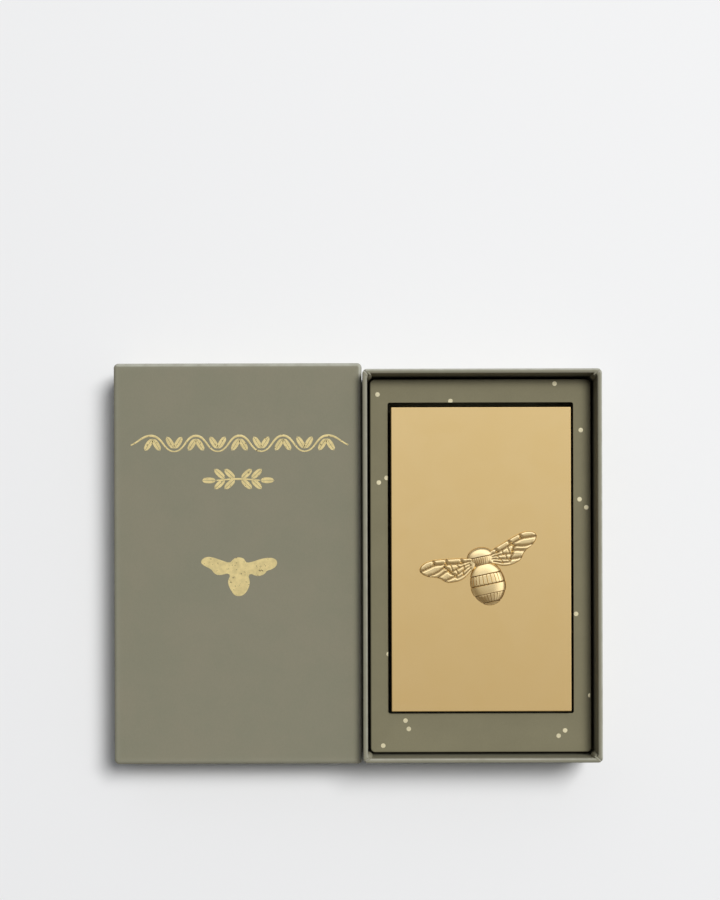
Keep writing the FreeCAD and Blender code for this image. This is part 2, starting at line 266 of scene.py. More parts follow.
class Effects:
    """Shared shader effects, each a node group that is built once."""

    VECTORS = ("Place", "Low", "High")
    CLOUD_SCALE = 0.02
    LAID_STRETCH = (1.0, 0.35, 1.0)
    LAID_SHARE = 0.35
    RUB_SCALE = 260.0
    RUB_NOISE = (0.2, 0.7)
    RUB_STRENGTH = (0.55, 1.0)
    FLECK_EDGE = (-0.02, 0.03)
    POLISH_CLOUD_SCALE = 70.0
    POLISH_MARK_SCALE = 5200.0
    POLISH_WAVE_SCALE = 34.0
    POLISH_STRETCH = (1.0, 0.03, 1.0)

    @classmethod
    def _group(cls, name: str, inputs: Sequence[str], outputs: Sequence[str]) -> tuple[NodeSheet, Any, Any]:
        """Starts a node group.

        Args:
            name: Name of the effect.
            inputs: Names of its inputs.
            outputs: Names of its outputs.

        Returns:
            The sheet to lay nodes on, the sockets of what the group is given, and the group's output node.
        """
        tree = bpy.data.node_groups.new(name, "ShaderNodeTree")
        for way, names in (("INPUT", inputs), ("OUTPUT", outputs)):
            for socket in names:
                kind = "NodeSocketVector" if socket in cls.VECTORS else "NodeSocketFloat"
                tree.interface.new_socket(name=socket, in_out=way, socket_type=kind)
        sheet = NodeSheet(tree)
        return sheet, sheet.add("NodeGroupInput").outputs, sheet.add("NodeGroupOutput")

    @classmethod
    @cache
    def fibre(cls) -> bpy.types.NodeTree:
        """Paper fibre: broad clouds and a fine felted surface.

        Returns:
            A group from Place and Scale to Cloud and Felt.
        """
        sheet, given, out = cls._group("fibre", ("Place", "Scale"), ("Cloud", "Felt"))
        place, scale = given["Place"], given["Scale"]
        broad = sheet.sum_up("MULTIPLY", scale, cls.CLOUD_SCALE)
        cloud = sheet.noise(place, broad, octaves=5.0, rough=0.6)
        strands = sheet.noise(place, scale, octaves=6.0, rough=0.65, swirl=1.6)
        drawn = sheet.vector("MULTIPLY", place, cls.LAID_STRETCH)
        laid = sheet.noise(drawn, scale, octaves=3.0, swirl=0.6)
        sheet.feed(out, {"Cloud": cloud, "Felt": sheet.mingle(strands, laid, cls.LAID_SHARE)})
        return sheet.tree

    @classmethod
    @cache
    def edge_wear_and_sheen(cls) -> bpy.types.NodeTree:
        """Pale band along the outer edges of a box-shaped piece: partly wear and partly a painted sheen.

        A point lies on an edge where it is near two faces of the box at once, so the middle one of its three
        distances to the box's faces is small.

        Returns:
            A group from Place, Low, High and Width to Mask.
        """
        sheet, given, out = cls._group("edge_wear_and_sheen", ("Place", "Low", "High", "Width"), ("Mask",))
        place = given["Place"]
        inward = sheet.vector("SUBTRACT", place, given["Low"])
        outward = sheet.vector("SUBTRACT", given["High"], place)
        x, y, z = sheet.split(sheet.vector("MINIMUM", inward, outward))
        larger = sheet.sum_up("MINIMUM", sheet.sum_up("MAXIMUM", x, y), z)
        middle = sheet.sum_up("MAXIMUM", sheet.sum_up("MINIMUM", x, y), larger)
        near = sheet.spread(sheet.sum_up("DIVIDE", middle, given["Width"]), RISE, FALL)
        uneven = sheet.noise(place, cls.RUB_SCALE, octaves=4.0, rough=0.6)
        wear_and_sheen = sheet.spread(uneven, cls.RUB_NOISE, cls.RUB_STRENGTH)
        sheet.feed(out, {"Mask": sheet.sum_up("MULTIPLY", near, wear_and_sheen)})
        return sheet.tree

    @classmethod
    @cache
    def flecks(cls) -> bpy.types.NodeTree:
        """Scattered specks.

        Returns:
            A group from Place, Scale and Cover, the noise level above which a speck shows, to Mask.
        """
        sheet, given, out = cls._group("flecks", ("Place", "Scale", "Cover"), ("Mask",))
        grain = sheet.noise(given["Place"], given["Scale"], octaves=5.0, rough=0.7)
        above = sheet.sum_up("SUBTRACT", grain, given["Cover"])
        sheet.feed(out, {"Mask": sheet.spread(above, cls.FLECK_EDGE)})
        return sheet.tree

    @classmethod
    @cache
    def polish(cls) -> bpy.types.NodeTree:
        """Hand-polished sheet metal: soft clouds, fine rubbing marks and a very slight wave.

        Returns:
            A group from Place to Cloud, Marks and Wave.
        """
        sheet, given, out = cls._group("polish", ("Place",), ("Cloud", "Marks", "Wave"))
        place = given["Place"]
        drawn = sheet.vector("MULTIPLY", place, cls.POLISH_STRETCH)
        cloud = sheet.noise(place, cls.POLISH_CLOUD_SCALE, octaves=5.0, rough=0.6, swirl=0.4)
        marks = sheet.noise(drawn, cls.POLISH_MARK_SCALE, octaves=3.0, rough=0.7)
        wave = sheet.noise(place, cls.POLISH_WAVE_SCALE, octaves=2.0, rough=0.4)
        sheet.feed(out, {"Cloud": cloud, "Marks": marks, "Wave": wave})
        return sheet.tree


@dataclass(frozen=True)
class Finish:
    """A finish makes one material, and each kind says what the material's shader is fed with."""

    name: str

    def inputs(self, sheet: NodeSheet, place: Socket) -> Values:
        """What the shader is fed with, by name, from nodes laid on the sheet."""
        raise NotImplementedError

    def material(self) -> bpy.types.Material:
        """Makes the material.

        Returns:
            The new material.
        """
        material = bpy.data.materials.new(self.name)
        material.use_nodes = True
        sheet = NodeSheet(material.node_tree)
        shader = next(node for node in material.node_tree.nodes if node.type == "BSDF_PRINCIPLED")
        sheet.feed(shader, self.inputs(sheet, sheet.here()))
        return material


@dataclass(frozen=True)
class PaperFinish(Finish):
    """Paper, card or board: clouded colour, felted surface and, on a box, edges paled by wear and painted
    sheen.
    """

    colour: Colour
    cloud: Colour
    roughness: Pair = (0.76, 0.88)
    gloss: float = 0.35
    fibre_scale: float = 2600.0
    felt_depth: float = 0.03 * MM
    felt_tint: float = 0.25
    felt_shade: float = 0.72
    speck: Colour | None = None
    speck_scale: float = 900.0
    speck_cover: float = 0.62
    wear_and_sheen: Colour | None = None
    box_low: Triple = (0.0, 0.0, 0.0)
    box_high: Triple = (0.0, 0.0, 0.0)
    wear_and_sheen_width: float = 3.2 * MM
    # Direction of the light: edges that lean towards it get the painted sheen, those facing away only a
    # little wear.
    lit_side: Triple = (0.5, 0.87, 0.0)
    lit_lean: Pair = (0.0, 0.28)
    wear_and_sheen_shares: Pair = (0.12, 0.9)

    def inputs(self, sheet: NodeSheet, place: Socket) -> Values:
        """Lays out the nodes.

        Args:
            sheet: The material's sheet.
            place: Object coordinates.

        Returns:
            What the shader is fed with.
        """
        fibre = sheet.effect(Effects.fibre(), Place=place, Scale=self.fibre_scale)
        felt = fibre["Felt"]
        colour = sheet.blend(sheet.spread(fibre["Cloud"], NOISE), self.colour, self.cloud)
        tint = sheet.spread(felt, NOISE, (0.0, self.felt_tint))
        colour = sheet.blend(tint, colour, shade(self.colour, self.felt_shade))
        if self.speck is not None:
            size = {"Scale": self.speck_scale, "Cover": self.speck_cover}
            specks = sheet.effect(Effects.flecks(), Place=place, **size)
            colour = sheet.blend(specks["Mask"], colour, self.speck)
        # Pale edges: some wear, and a painted sheen that is strongest on the sides facing the light.
        if self.wear_and_sheen is not None:
            limits = {"Low": self.box_low, "High": self.box_high, "Width": self.wear_and_sheen_width}
            edge_band = sheet.effect(Effects.edge_wear_and_sheen(), Place=place, **limits)
            lit_share = sheet.spread(sheet.lean(self.lit_side), self.lit_lean, self.wear_and_sheen_shares)
            colour = sheet.blend(sheet.sum_up("MULTIPLY", edge_band["Mask"], lit_share), colour, self.wear_and_sheen)
        return {
            "Base Color": colour,
            "Roughness": sheet.spread(felt, NOISE, self.roughness),
            "Normal": sheet.relief(felt, self.felt_depth),
            "Specular IOR Level": self.gloss,
        }


@dataclass(frozen=True)
class MetalFinish(Finish):
    """Polished and lacquered gold-coloured metal. A painted shade makes it dark at its foot and in its
    hollows.
    """

    colour: Colour
    cloud: Colour
    roughness: Pair = (0.18, 0.22)
    dull_range: Pair = (0.25, 0.75)
    mark_range: Pair = (0.35, 0.75)
    mark_roughness: Pair = (0.0, 0.03)
    wave_depth: float = 0.015 * MM
    painted_shade: Colour | None = None
    painted_shade_heights: Pair = (0.0, 0.0)

    def inputs(self, sheet: NodeSheet, place: Socket) -> Values:
        """Lays out the nodes.

        Args:
            sheet: The material's sheet.
            place: Object coordinates.

        Returns:
            What the shader is fed with.
        """
        polish = sheet.effect(Effects.polish(), Place=place)
        colour = sheet.blend(sheet.spread(polish["Cloud"], NOISE), self.colour, self.cloud)
        if self.painted_shade is not None:
            # Painted shade: darker near the foot and where the hollows are marked.
            foot = sheet.spread(sheet.split(place)[Axis.Z], self.painted_shade_heights, FALL)
            hollow = sheet.add("ShaderNodeAttribute", attribute_name=HOLLOW_SHADE).outputs["Fac"]
            colour = sheet.blend(sheet.sum_up("MAXIMUM", foot, hollow), colour, self.painted_shade)
        dull = sheet.spread(polish["Cloud"], self.dull_range, self.roughness)
        rubbed = sheet.spread(polish["Marks"], self.mark_range, self.mark_roughness)
        return {
            "Base Color": colour,
            "Metallic": 1.0,
            "Roughness": sheet.sum_up("ADD", dull, rubbed),
            "Normal": sheet.relief(polish["Wave"], self.wave_depth),
        }


@dataclass(frozen=True)
class FoilFinish(Finish):
    """Hot-stamped foil that is rubbed thin in specks, so that the paper shows through."""

    foil: Colour
    paper: Colour
    speck_scale: float
    cover: float
    shine: float = 0.5
    roughness: float = 0.32
    paper_roughness: float = 0.8
    tone_scale: float = 420.0
    tone_shade: float = 0.8
    felt_scale: float = 2600.0
    felt_depth: float = 0.012 * MM

    def inputs(self, sheet: NodeSheet, place: Socket) -> Values:
        """Lays out the nodes.

        Args:
            sheet: The material's sheet.
            place: Object coordinates.

        Returns:
            What the shader is fed with.
        """
        flecks = sheet.effect(Effects.flecks(), Place=place, Scale=self.speck_scale, Cover=self.cover)
        bare = flecks["Mask"]
        tone = sheet.spread(sheet.noise(place, self.tone_scale, octaves=4.0, rough=0.6), NOISE)
        foil = sheet.blend(tone, self.foil, shade(self.foil, self.tone_shade))
        felt = sheet.noise(place, self.felt_scale, octaves=4.0, rough=0.6)
        return {
            "Base Color": sheet.blend(bare, foil, self.paper),
            "Metallic": sheet.spread(bare, RISE, (self.shine, 0.0)),
            "Roughness": sheet.spread(bare, RISE, (self.roughness, self.paper_roughness)),
            "Normal": sheet.relief(felt, self.felt_depth),
        }


@dataclass(frozen=True)
class WoodFinish(Finish):
    """Bare split wood whose grain runs along Y."""

    colour: Colour
    dark: Colour
    roughness: Pair = (0.62, 0.8)
    grain_scale: float = 1500.0
    grain_stretch: Triple = (1.0, 0.04, 1.0)
    grain_depth: float = 0.03 * MM
    board_scale: float = 420.0
    board_stretch: Triple = (1.0, 0.01, 1.0)
    board_share: float = 0.4

    def inputs(self, sheet: NodeSheet, place: Socket) -> Values:
        """Lays out the nodes.

        Args:
            sheet: The material's sheet.
            place: Object coordinates.

        Returns:
            What the shader is fed with.
        """
        drawn = sheet.vector("MULTIPLY", place, self.grain_stretch)
        grain = sheet.noise(drawn, self.grain_scale, octaves=5.0, rough=0.65, swirl=0.8)
        drawn = sheet.vector("MULTIPLY", place, self.board_stretch)
        tone = sheet.mingle(grain, sheet.noise(drawn, self.board_scale, octaves=1.0), self.board_share)
        return {
            "Base Color": sheet.blend(sheet.spread(tone, GRIT), self.colour, self.dark),
            "Roughness": sheet.spread(grain, NOISE, self.roughness),
            "Normal": sheet.relief(grain, self.grain_depth),
        }


@dataclass(frozen=True)
class CrustFinish(Finish):
    """Dry, grainy compound, as on match heads and striking strips."""

    colour: Colour
    bright: Colour
    grain_scale: float
    grain_depth: float
    pit_shade: float = 0.6
    speck_scale: float = 1.7
    speck_cover: float = 0.6
    roughness: Pair = (0.7, 0.95)

    def inputs(self, sheet: NodeSheet, place: Socket) -> Values:
        """Lays out the nodes.

        Args:
            sheet: The material's sheet.
            place: Object coordinates.

        Returns:
            What the shader is fed with.
        """
        grit = sheet.noise(place, self.grain_scale, octaves=5.0, rough=0.7)
        fine = self.grain_scale * self.speck_scale
        specks = sheet.effect(Effects.flecks(), Place=place, Scale=fine, Cover=self.speck_cover)
        tone = sheet.blend(sheet.spread(grit, GRIT), self.colour, shade(self.colour, self.pit_shade))
        return {
            "Base Color": sheet.blend(specks["Mask"], tone, self.bright),
            "Roughness": sheet.spread(grit, NOISE, self.roughness),
            "Normal": sheet.relief(grit, self.grain_depth),
        }


@dataclass(frozen=True)
class FloorFinish(Finish):
    """Matt floor, faintly clouded, that fades out between two distances from its middle."""

    colour: Colour
    fade: Pair
    cloud_scale: float = 3.0
    cloud_shade: float = 0.985
    roughness: float = 0.9

    def inputs(self, sheet: NodeSheet, place: Socket) -> Values:
        """Lays out the nodes.

        Args:
            sheet: The material's sheet.
            place: Object coordinates.

        Returns:
            What the shader is fed with.
        """
        cloud = sheet.noise(place, self.cloud_scale, octaves=2.0)
        return {
            "Base Color": sheet.blend(cloud, self.colour, shade(self.colour, self.cloud_shade)),
            "Roughness": self.roughness,
            "Specular IOR Level": 0.0,
            "Alpha": sheet.spread(sheet.vector("LENGTH", place), self.fade, FALL),
        }


def fresh(operator: Callable[..., Any], **settings: Any) -> bpy.types.Object:
    """Adds one of Blender's primitives, with nothing else selected.

    Args:
        operator: Blender's operator for it.
        **settings: The operator's settings.

    Returns:
        The new object.
    """
    bpy.ops.object.select_all(action="DESELECT")
    operator(**settings)
    return bpy.context.object


def fresh_curve(
    operator: Callable[..., Any], points: Sequence[Pair], weights: Sequence[float]
) -> bpy.types.Object:
    """Adds a curve that goes smoothly through points.

    Args:
        operator: Blender's operator for an open or a closed curve.
        points: The points, in millimetres.
        weights: Share of the curve's thickness at each point.

    Returns:
        The new curve.
    """
    curve = fresh(operator, radius=1.0)
    knots = curve.data.splines[0].bezier_points
    knots.add(len(points) - len(knots))
    for knot, (x, y), weight in zip(knots, points, weights):
        knot.handle_left_type = "AUTO"
        knot.handle_right_type = "AUTO"
        knot.co = (x * MM, y * MM, 0.0)
        knot.radius = weight
    return curve


class Part(Enum):
    """Parts of a mesh that can be picked: the name of Blender's mode and of the mesh's list for them."""

    POINTS = ("VERT", "verts")
    EDGES = ("EDGE", "edges")
    FACES = ("FACE", "faces")


class Workpiece:
    """A mesh object shaped with Blender's own modelling operators."""

    def __init__(self, obj: bpy.types.Object, name: str) -> None:
        """Takes hold of a fresh object, names it and applies its place to its mesh.

        Args:
            obj: The object.
            name: Name for it and its mesh.
        """
        self.obj = obj
        obj.name = name
        obj.data.name = name
        self.settle()

    @classmethod
    def block(cls, name: str, low: Corner, high: Corner) -> "Workpiece":
        """Starts from a box.

        Args:
            name: Name of the piece.
            low: Its lowest corner.
            high: Its highest corner.

        Returns:
            The box.
        """
        middle = (Vector(low) + Vector(high)) / 2
        cube = fresh(bpy.ops.mesh.primitive_cube_add, size=1.0, location=middle)
        cube.scale = Vector(high) - Vector(low)
        return cls(cube, name)

    @classmethod
    def rounded_block(
        cls, name: str, low: Corner, high: Corner, axis: Axis, radius: float, steps: int
    ) -> "Workpiece":
        """Starts from a box whose four edges along one axis are rounded.

        Args:
            name: Name of the piece.
            low: Its lowest corner.
            high: Its highest corner.
            axis: The axis.
            radius: Radius of the rounding.
            steps: Faces across the rounding.

        Returns:
            The rounded box.
        """
        piece = cls.block(name, low, high)
        with piece.editing():
            piece.pick_edges(lambda edge: span(edge, axis) > FLATNESS)
            piece.bevel(radius, steps)
        return piece

    @classmethod
    def disc(cls, name: str, centre: Triple, width: float, length: float, points: int) -> "Workpiece":
        """Starts from a flat oval that faces up.

        Args:
            name: Name of the piece.
            centre: Its centre.
            width: Its size along X.
            length: Its size along Y.
            points: Points round it.

        Returns:
            The flat oval.
        """
        add = bpy.ops.mesh.primitive_circle_add
        circle = fresh(add, vertices=points, radius=0.5, fill_type="NGON", location=centre)
        circle.scale = (width, length, 1.0)
        return cls(circle, name)

    @classmethod
    def egg(cls, name: str, centre: Triple, size: Triple, segments: int, rings: int) -> "Workpiece":
        """Starts from an oval ball whose poles lie along Y.

        Args:
            name: Name of the piece.
            centre: Its centre.
            size: Its size along X, Y and Z.
            segments: Faces round it.
            rings: Faces from pole to pole.

        Returns:
            The ball.
        """
        add = bpy.ops.mesh.primitive_uv_sphere_add
        ball = fresh(add, segments=segments, ring_count=rings, radius=0.5, location=centre)
        ball.rotation_euler = (math.pi / 2, 0.0, 0.0)
        ball.scale = (size[0], size[2], size[1])
        return cls(ball, name)

    @classmethod
    def from_curve(cls, curve: bpy.types.Object, name: str) -> "Workpiece":
        """Starts from the selected curve, made a mesh."""
        bpy.ops.object.convert(target="MESH")
        return cls(curve, name)

    @classmethod
    def outline(cls, name: str, points: Sequence[Pair], steps: int) -> "Workpiece":
        """Starts from a flat face at height 0 whose rim is a smooth closed curve.

        Args:
            name: Name of the piece.
            points: Points that the curve goes through, in millimetres.
            steps: Steps from one point to the next.

        Returns:
            The flat piece, facing up.
        """
        curve = fresh_curve(bpy.ops.curve.primitive_bezier_circle_add, points, [1.0] * len(points))
        curve.data.resolution_u = steps
        piece = cls.from_curve(curve, name)
        with piece.editing():
            bpy.ops.mesh.select_all(action="SELECT")
            bpy.ops.mesh.edge_face_add()
            piece.pick_faces(lambda centre, normal: normal.z < 0)
            bpy.ops.mesh.flip_normals()
        return piece

    def activate(self) -> None:
        """Makes this the only selected object."""
        bpy.ops.object.select_all(action="DESELECT")
        self.obj.select_set(True)
        bpy.context.view_layer.objects.active = self.obj

    def settle(self) -> None:
        """Applies the object's place, turn and scale to its mesh."""
        self.activate()
        bpy.ops.object.transform_apply(location=True, rotation=True, scale=True)

    def place(self, shift: Corner, turn: float = 0.0) -> None:
        """Turns the piece about the Z axis, then moves it.

        Args:
            shift: The move.
            turn: The turn in degrees, counter-clockwise seen from above.
        """
        self.obj.rotation_euler = (0.0, 0.0, math.radians(turn))
        self.obj.location = shift
        self.settle()

    def copy(self, name: str) -> "Workpiece":
        """Copies the piece.

        Args:
            name: Name of the copy.

        Returns:
            The copy, with a mesh of its own.
        """
        twin = self.obj.copy()
        twin.data = self.obj.data.copy()
        bpy.context.collection.objects.link(twin)
        return Workpiece(twin, name)

    def discard(self) -> None:
        """Removes the piece."""
        bpy.data.objects.remove(self.obj, do_unlink=True)

    def absorb(self, others: Sequence["Workpiece"]) -> None:
        """Joins other pieces into this one.

        Args:
            others: The other pieces.
        """
        self.activate()
        for other in others:
            other.obj.select_set(True)
        bpy.ops.object.join()

    def scatter(self, places: Sequence[Triple]) -> None:
        """Puts the piece at the first of some places and copies of it at the others, all as one piece.

        Args:
            places: Across and along, in millimetres, and the turn in degrees of each.
        """
        pieces = [self] + [self.copy(f"{self.obj.name}_{number}") for number in range(1, len(places))]
        for piece, (x, y, turn) in zip(pieces, places):
            piece.place((x * MM, y * MM, 0.0), turn)
        self.absorb(pieces[1:])

    @contextmanager
    def editing(self) -> Iterator[None]:
        """Opens the mesh in edit mode with nothing picked, and closes it again."""
        self.activate()
        bpy.ops.object.mode_set(mode="EDIT")
        bpy.ops.mesh.select_all(action="DESELECT")
        yield
        bpy.ops.object.mode_set(mode="OBJECT")

    def pick(self, part: Part, test: Callable[[Any], bool]) -> None:
        """Picks the points, edges or faces that pass a test, and nothing else.

        Args:
            part: What is picked.
            test: The test.
        """
        mode, kind = part.value
        bpy.ops.mesh.select_mode(type=mode)
        bpy.ops.mesh.select_all(action="DESELECT")
        mesh = bmesh.from_edit_mesh(self.obj.data)
        for item in getattr(mesh, kind):
            if test(item):
                item.select_set(True)
        if part is Part.POINTS:
            mesh.select_flush_mode()
        bmesh.update_edit_mesh(self.obj.data)

    def pick_faces(self, test: FaceTest) -> None:
        """Picks the faces whose centre and normal pass a test."""
        self.pick(Part.FACES, lambda face: test(face.calc_center_median(), face.normal))

    def pick_edges(self, test: EdgeTest) -> None:
        """Picks the edges that pass a test."""
        self.pick(Part.EDGES, test)

    def pick_points(self, test: PointTest) -> None:
        """Picks the points whose place passes a test."""
        self.pick(Part.POINTS, lambda point: test(point.co))

    def face_outwards(self) -> None:
        """Turns all faces outwards, in edit mode."""
        bpy.ops.mesh.select_all(action="SELECT")
        bpy.ops.mesh.normals_make_consistent(inside=False)

    def paint_shade(self, level: float = 1.0) -> None:
        """Marks the picked points with painted shade, for a hollow where the metal is painted darker.

        Args:
            level: How dark it goes, from 0 to 1.
        """
        mesh = bmesh.from_edit_mesh(self.obj.data)
        layer = mesh.verts.layers.float.get(HOLLOW_SHADE) or mesh.verts.layers.float.new(HOLLOW_SHADE)
        for point in mesh.verts:
            if point.select:
                point[layer] = level
        bmesh.update_edit_mesh(self.obj.data)

    def press_in(self, depth: float, reach: float) -> None:
        """Presses the picked points down, and their neighbours less and less up to a reach."""
        falloff = {"use_proportional_edit": True, "proportional_edit_falloff": "SHARP"}
        bpy.ops.transform.translate(value=(0.0, 0.0, -depth), proportional_size=reach, **falloff)

    def bevel(self, offset: float, steps: int) -> None:
        """Rounds the picked edges."""
        bpy.ops.mesh.bevel(offset=offset, offset_type="OFFSET", segments=steps, affect="EDGES")

    def extrude(self, shift: Triple) -> None:
        """Extrudes what is picked and moves it."""
        bpy.ops.mesh.extrude_region_move(TRANSFORM_OT_translate={"value": shift})

    def bisect(self, normal: Triple, **settings: Any) -> None:
        """Cuts what is picked along a plane through the origin."""
        plane = {"plane_co": (0.0, 0.0, 0.0), "plane_no": normal, "threshold": CUT_TOLERANCE}
        bpy.ops.mesh.bisect(**plane, **settings)

    def raise_up(self, height: float) -> None:
        """Gives a flat piece its height."""
        with self.editing():
            self.pick_faces(lambda centre, normal: True)
            self.extrude((0.0, 0.0, height))

    def mirror_across(self) -> None:
        """Mirrors the piece in X and turns its faces outwards again."""
        self.obj.scale = (-1.0, 1.0, 1.0)
        self.settle()
        with self.editing():
            self.face_outwards()

    def modify(self, kind: str, **settings: Any) -> None:
        """Adds a modifier and applies it.

        Args:
            kind: Blender's name for the kind of modifier.
            **settings: Properties of the modifier to set.
        """
        self.activate()
        modifier = self.obj.modifiers.new(kind.lower(), kind)
        for name, value in settings.items():
            setattr(modifier, name, value)
        bpy.ops.object.modifier_apply(modifier=modifier.name)

    def thicken(self, thickness: float) -> None:
        """Gives a sheet its thickness, inwards from the side that it shows."""
        even = {"use_even_offset": True, "use_quality_normals": True}
        self.modify("SOLIDIFY", thickness=thickness, offset=-1.0, **even)

    def combine(self, other: "Workpiece", operation: str) -> None:
        """Uses up another piece in a Boolean operation on this one."""
        self.modify("BOOLEAN", object=other.obj, operation=operation, solver="EXACT")
        other.discard()

    def cut_out(self, cutter: "Workpiece") -> None:
        """Takes another piece's shape out of this one."""
        self.combine(cutter, "DIFFERENCE")

    def merge(self, other: "Workpiece") -> None:
        """Makes another piece one with this one, without faces left inside."""
        self.combine(other, "UNION")

    @staticmethod
    def renumber() -> None:
        """Numbers the picked points by their place, since Blender's own order can change from run to run."""
        cursor = bpy.context.scene.cursor
        cursor.location = COUNT_FROM
        bpy.ops.mesh.sort_elements(type="CURSOR_DISTANCE", elements={"VERT"})
        cursor.location = (0.0, 0.0, 0.0)

    def clean(self, gap: float) -> None:
        """Joins points that lie close together and takes out points that only split an edge.

        Args:
            gap: How close together.
        """
        with self.editing():
            bpy.ops.mesh.select_all(action="SELECT")
            self.renumber()
            bpy.ops.mesh.remove_doubles(threshold=gap)
            self.pick(Part.POINTS, lambda point: len(point.link_edges) == 2)
            bpy.ops.mesh.dissolve_verts()

    def soften(self, width: float) -> None:
        """Rounds every sharp edge."""
        sharp = {"limit_method": "ANGLE", "angle_limit": SHARP_ANGLE, "harden_normals": False}
        self.modify("BEVEL", width=width, segments=SOFT_STEPS, use_clamp_overlap=True, **sharp)

    def smooth(self, angle: float = SMOOTH_ANGLE) -> None:
        """Shades the piece smooth, apart from its sharp edges, with its large faces kept flat.

        Args:
            angle: The angle from which an edge is sharp.
        """
        self.activate()
        bpy.ops.object.shade_smooth_by_angle(angle=angle)
        self.modify("WEIGHTED_NORMAL", mode="FACE_AREA", weight=FACE_WEIGHT, keep_sharp=True)

    def hand_over(
        self, body: str, slot: str, material: bpy.types.Material, stands_for: Sequence[str] = ()
    ) -> None:
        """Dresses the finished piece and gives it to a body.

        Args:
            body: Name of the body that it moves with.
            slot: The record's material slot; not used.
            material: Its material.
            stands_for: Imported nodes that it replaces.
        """
        self.obj.data.materials.clear()
        self.obj.data.materials.append(material)
        if stands_for:
            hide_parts(*stands_for)
        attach(self.obj, body)
        log.info("%s on %s, %d faces", self.obj.name, body, len(self.obj.data.polygons))


def dress_node(node: str, finish: Finish) -> None:
    """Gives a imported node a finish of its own.

    Args:
        node: Name of the node.
        finish: Its finish.
    """
    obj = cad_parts[node]
    material = finish.material()
    if not obj.material_slots:
        obj.data.materials.append(material)
    for slot in obj.material_slots:
        slot.material = material
    log.info("%s dressed in %s", node, material.name)


class Opening(Enum):
    """Which way a tray opens."""

    UP = 1
    DOWN = -1


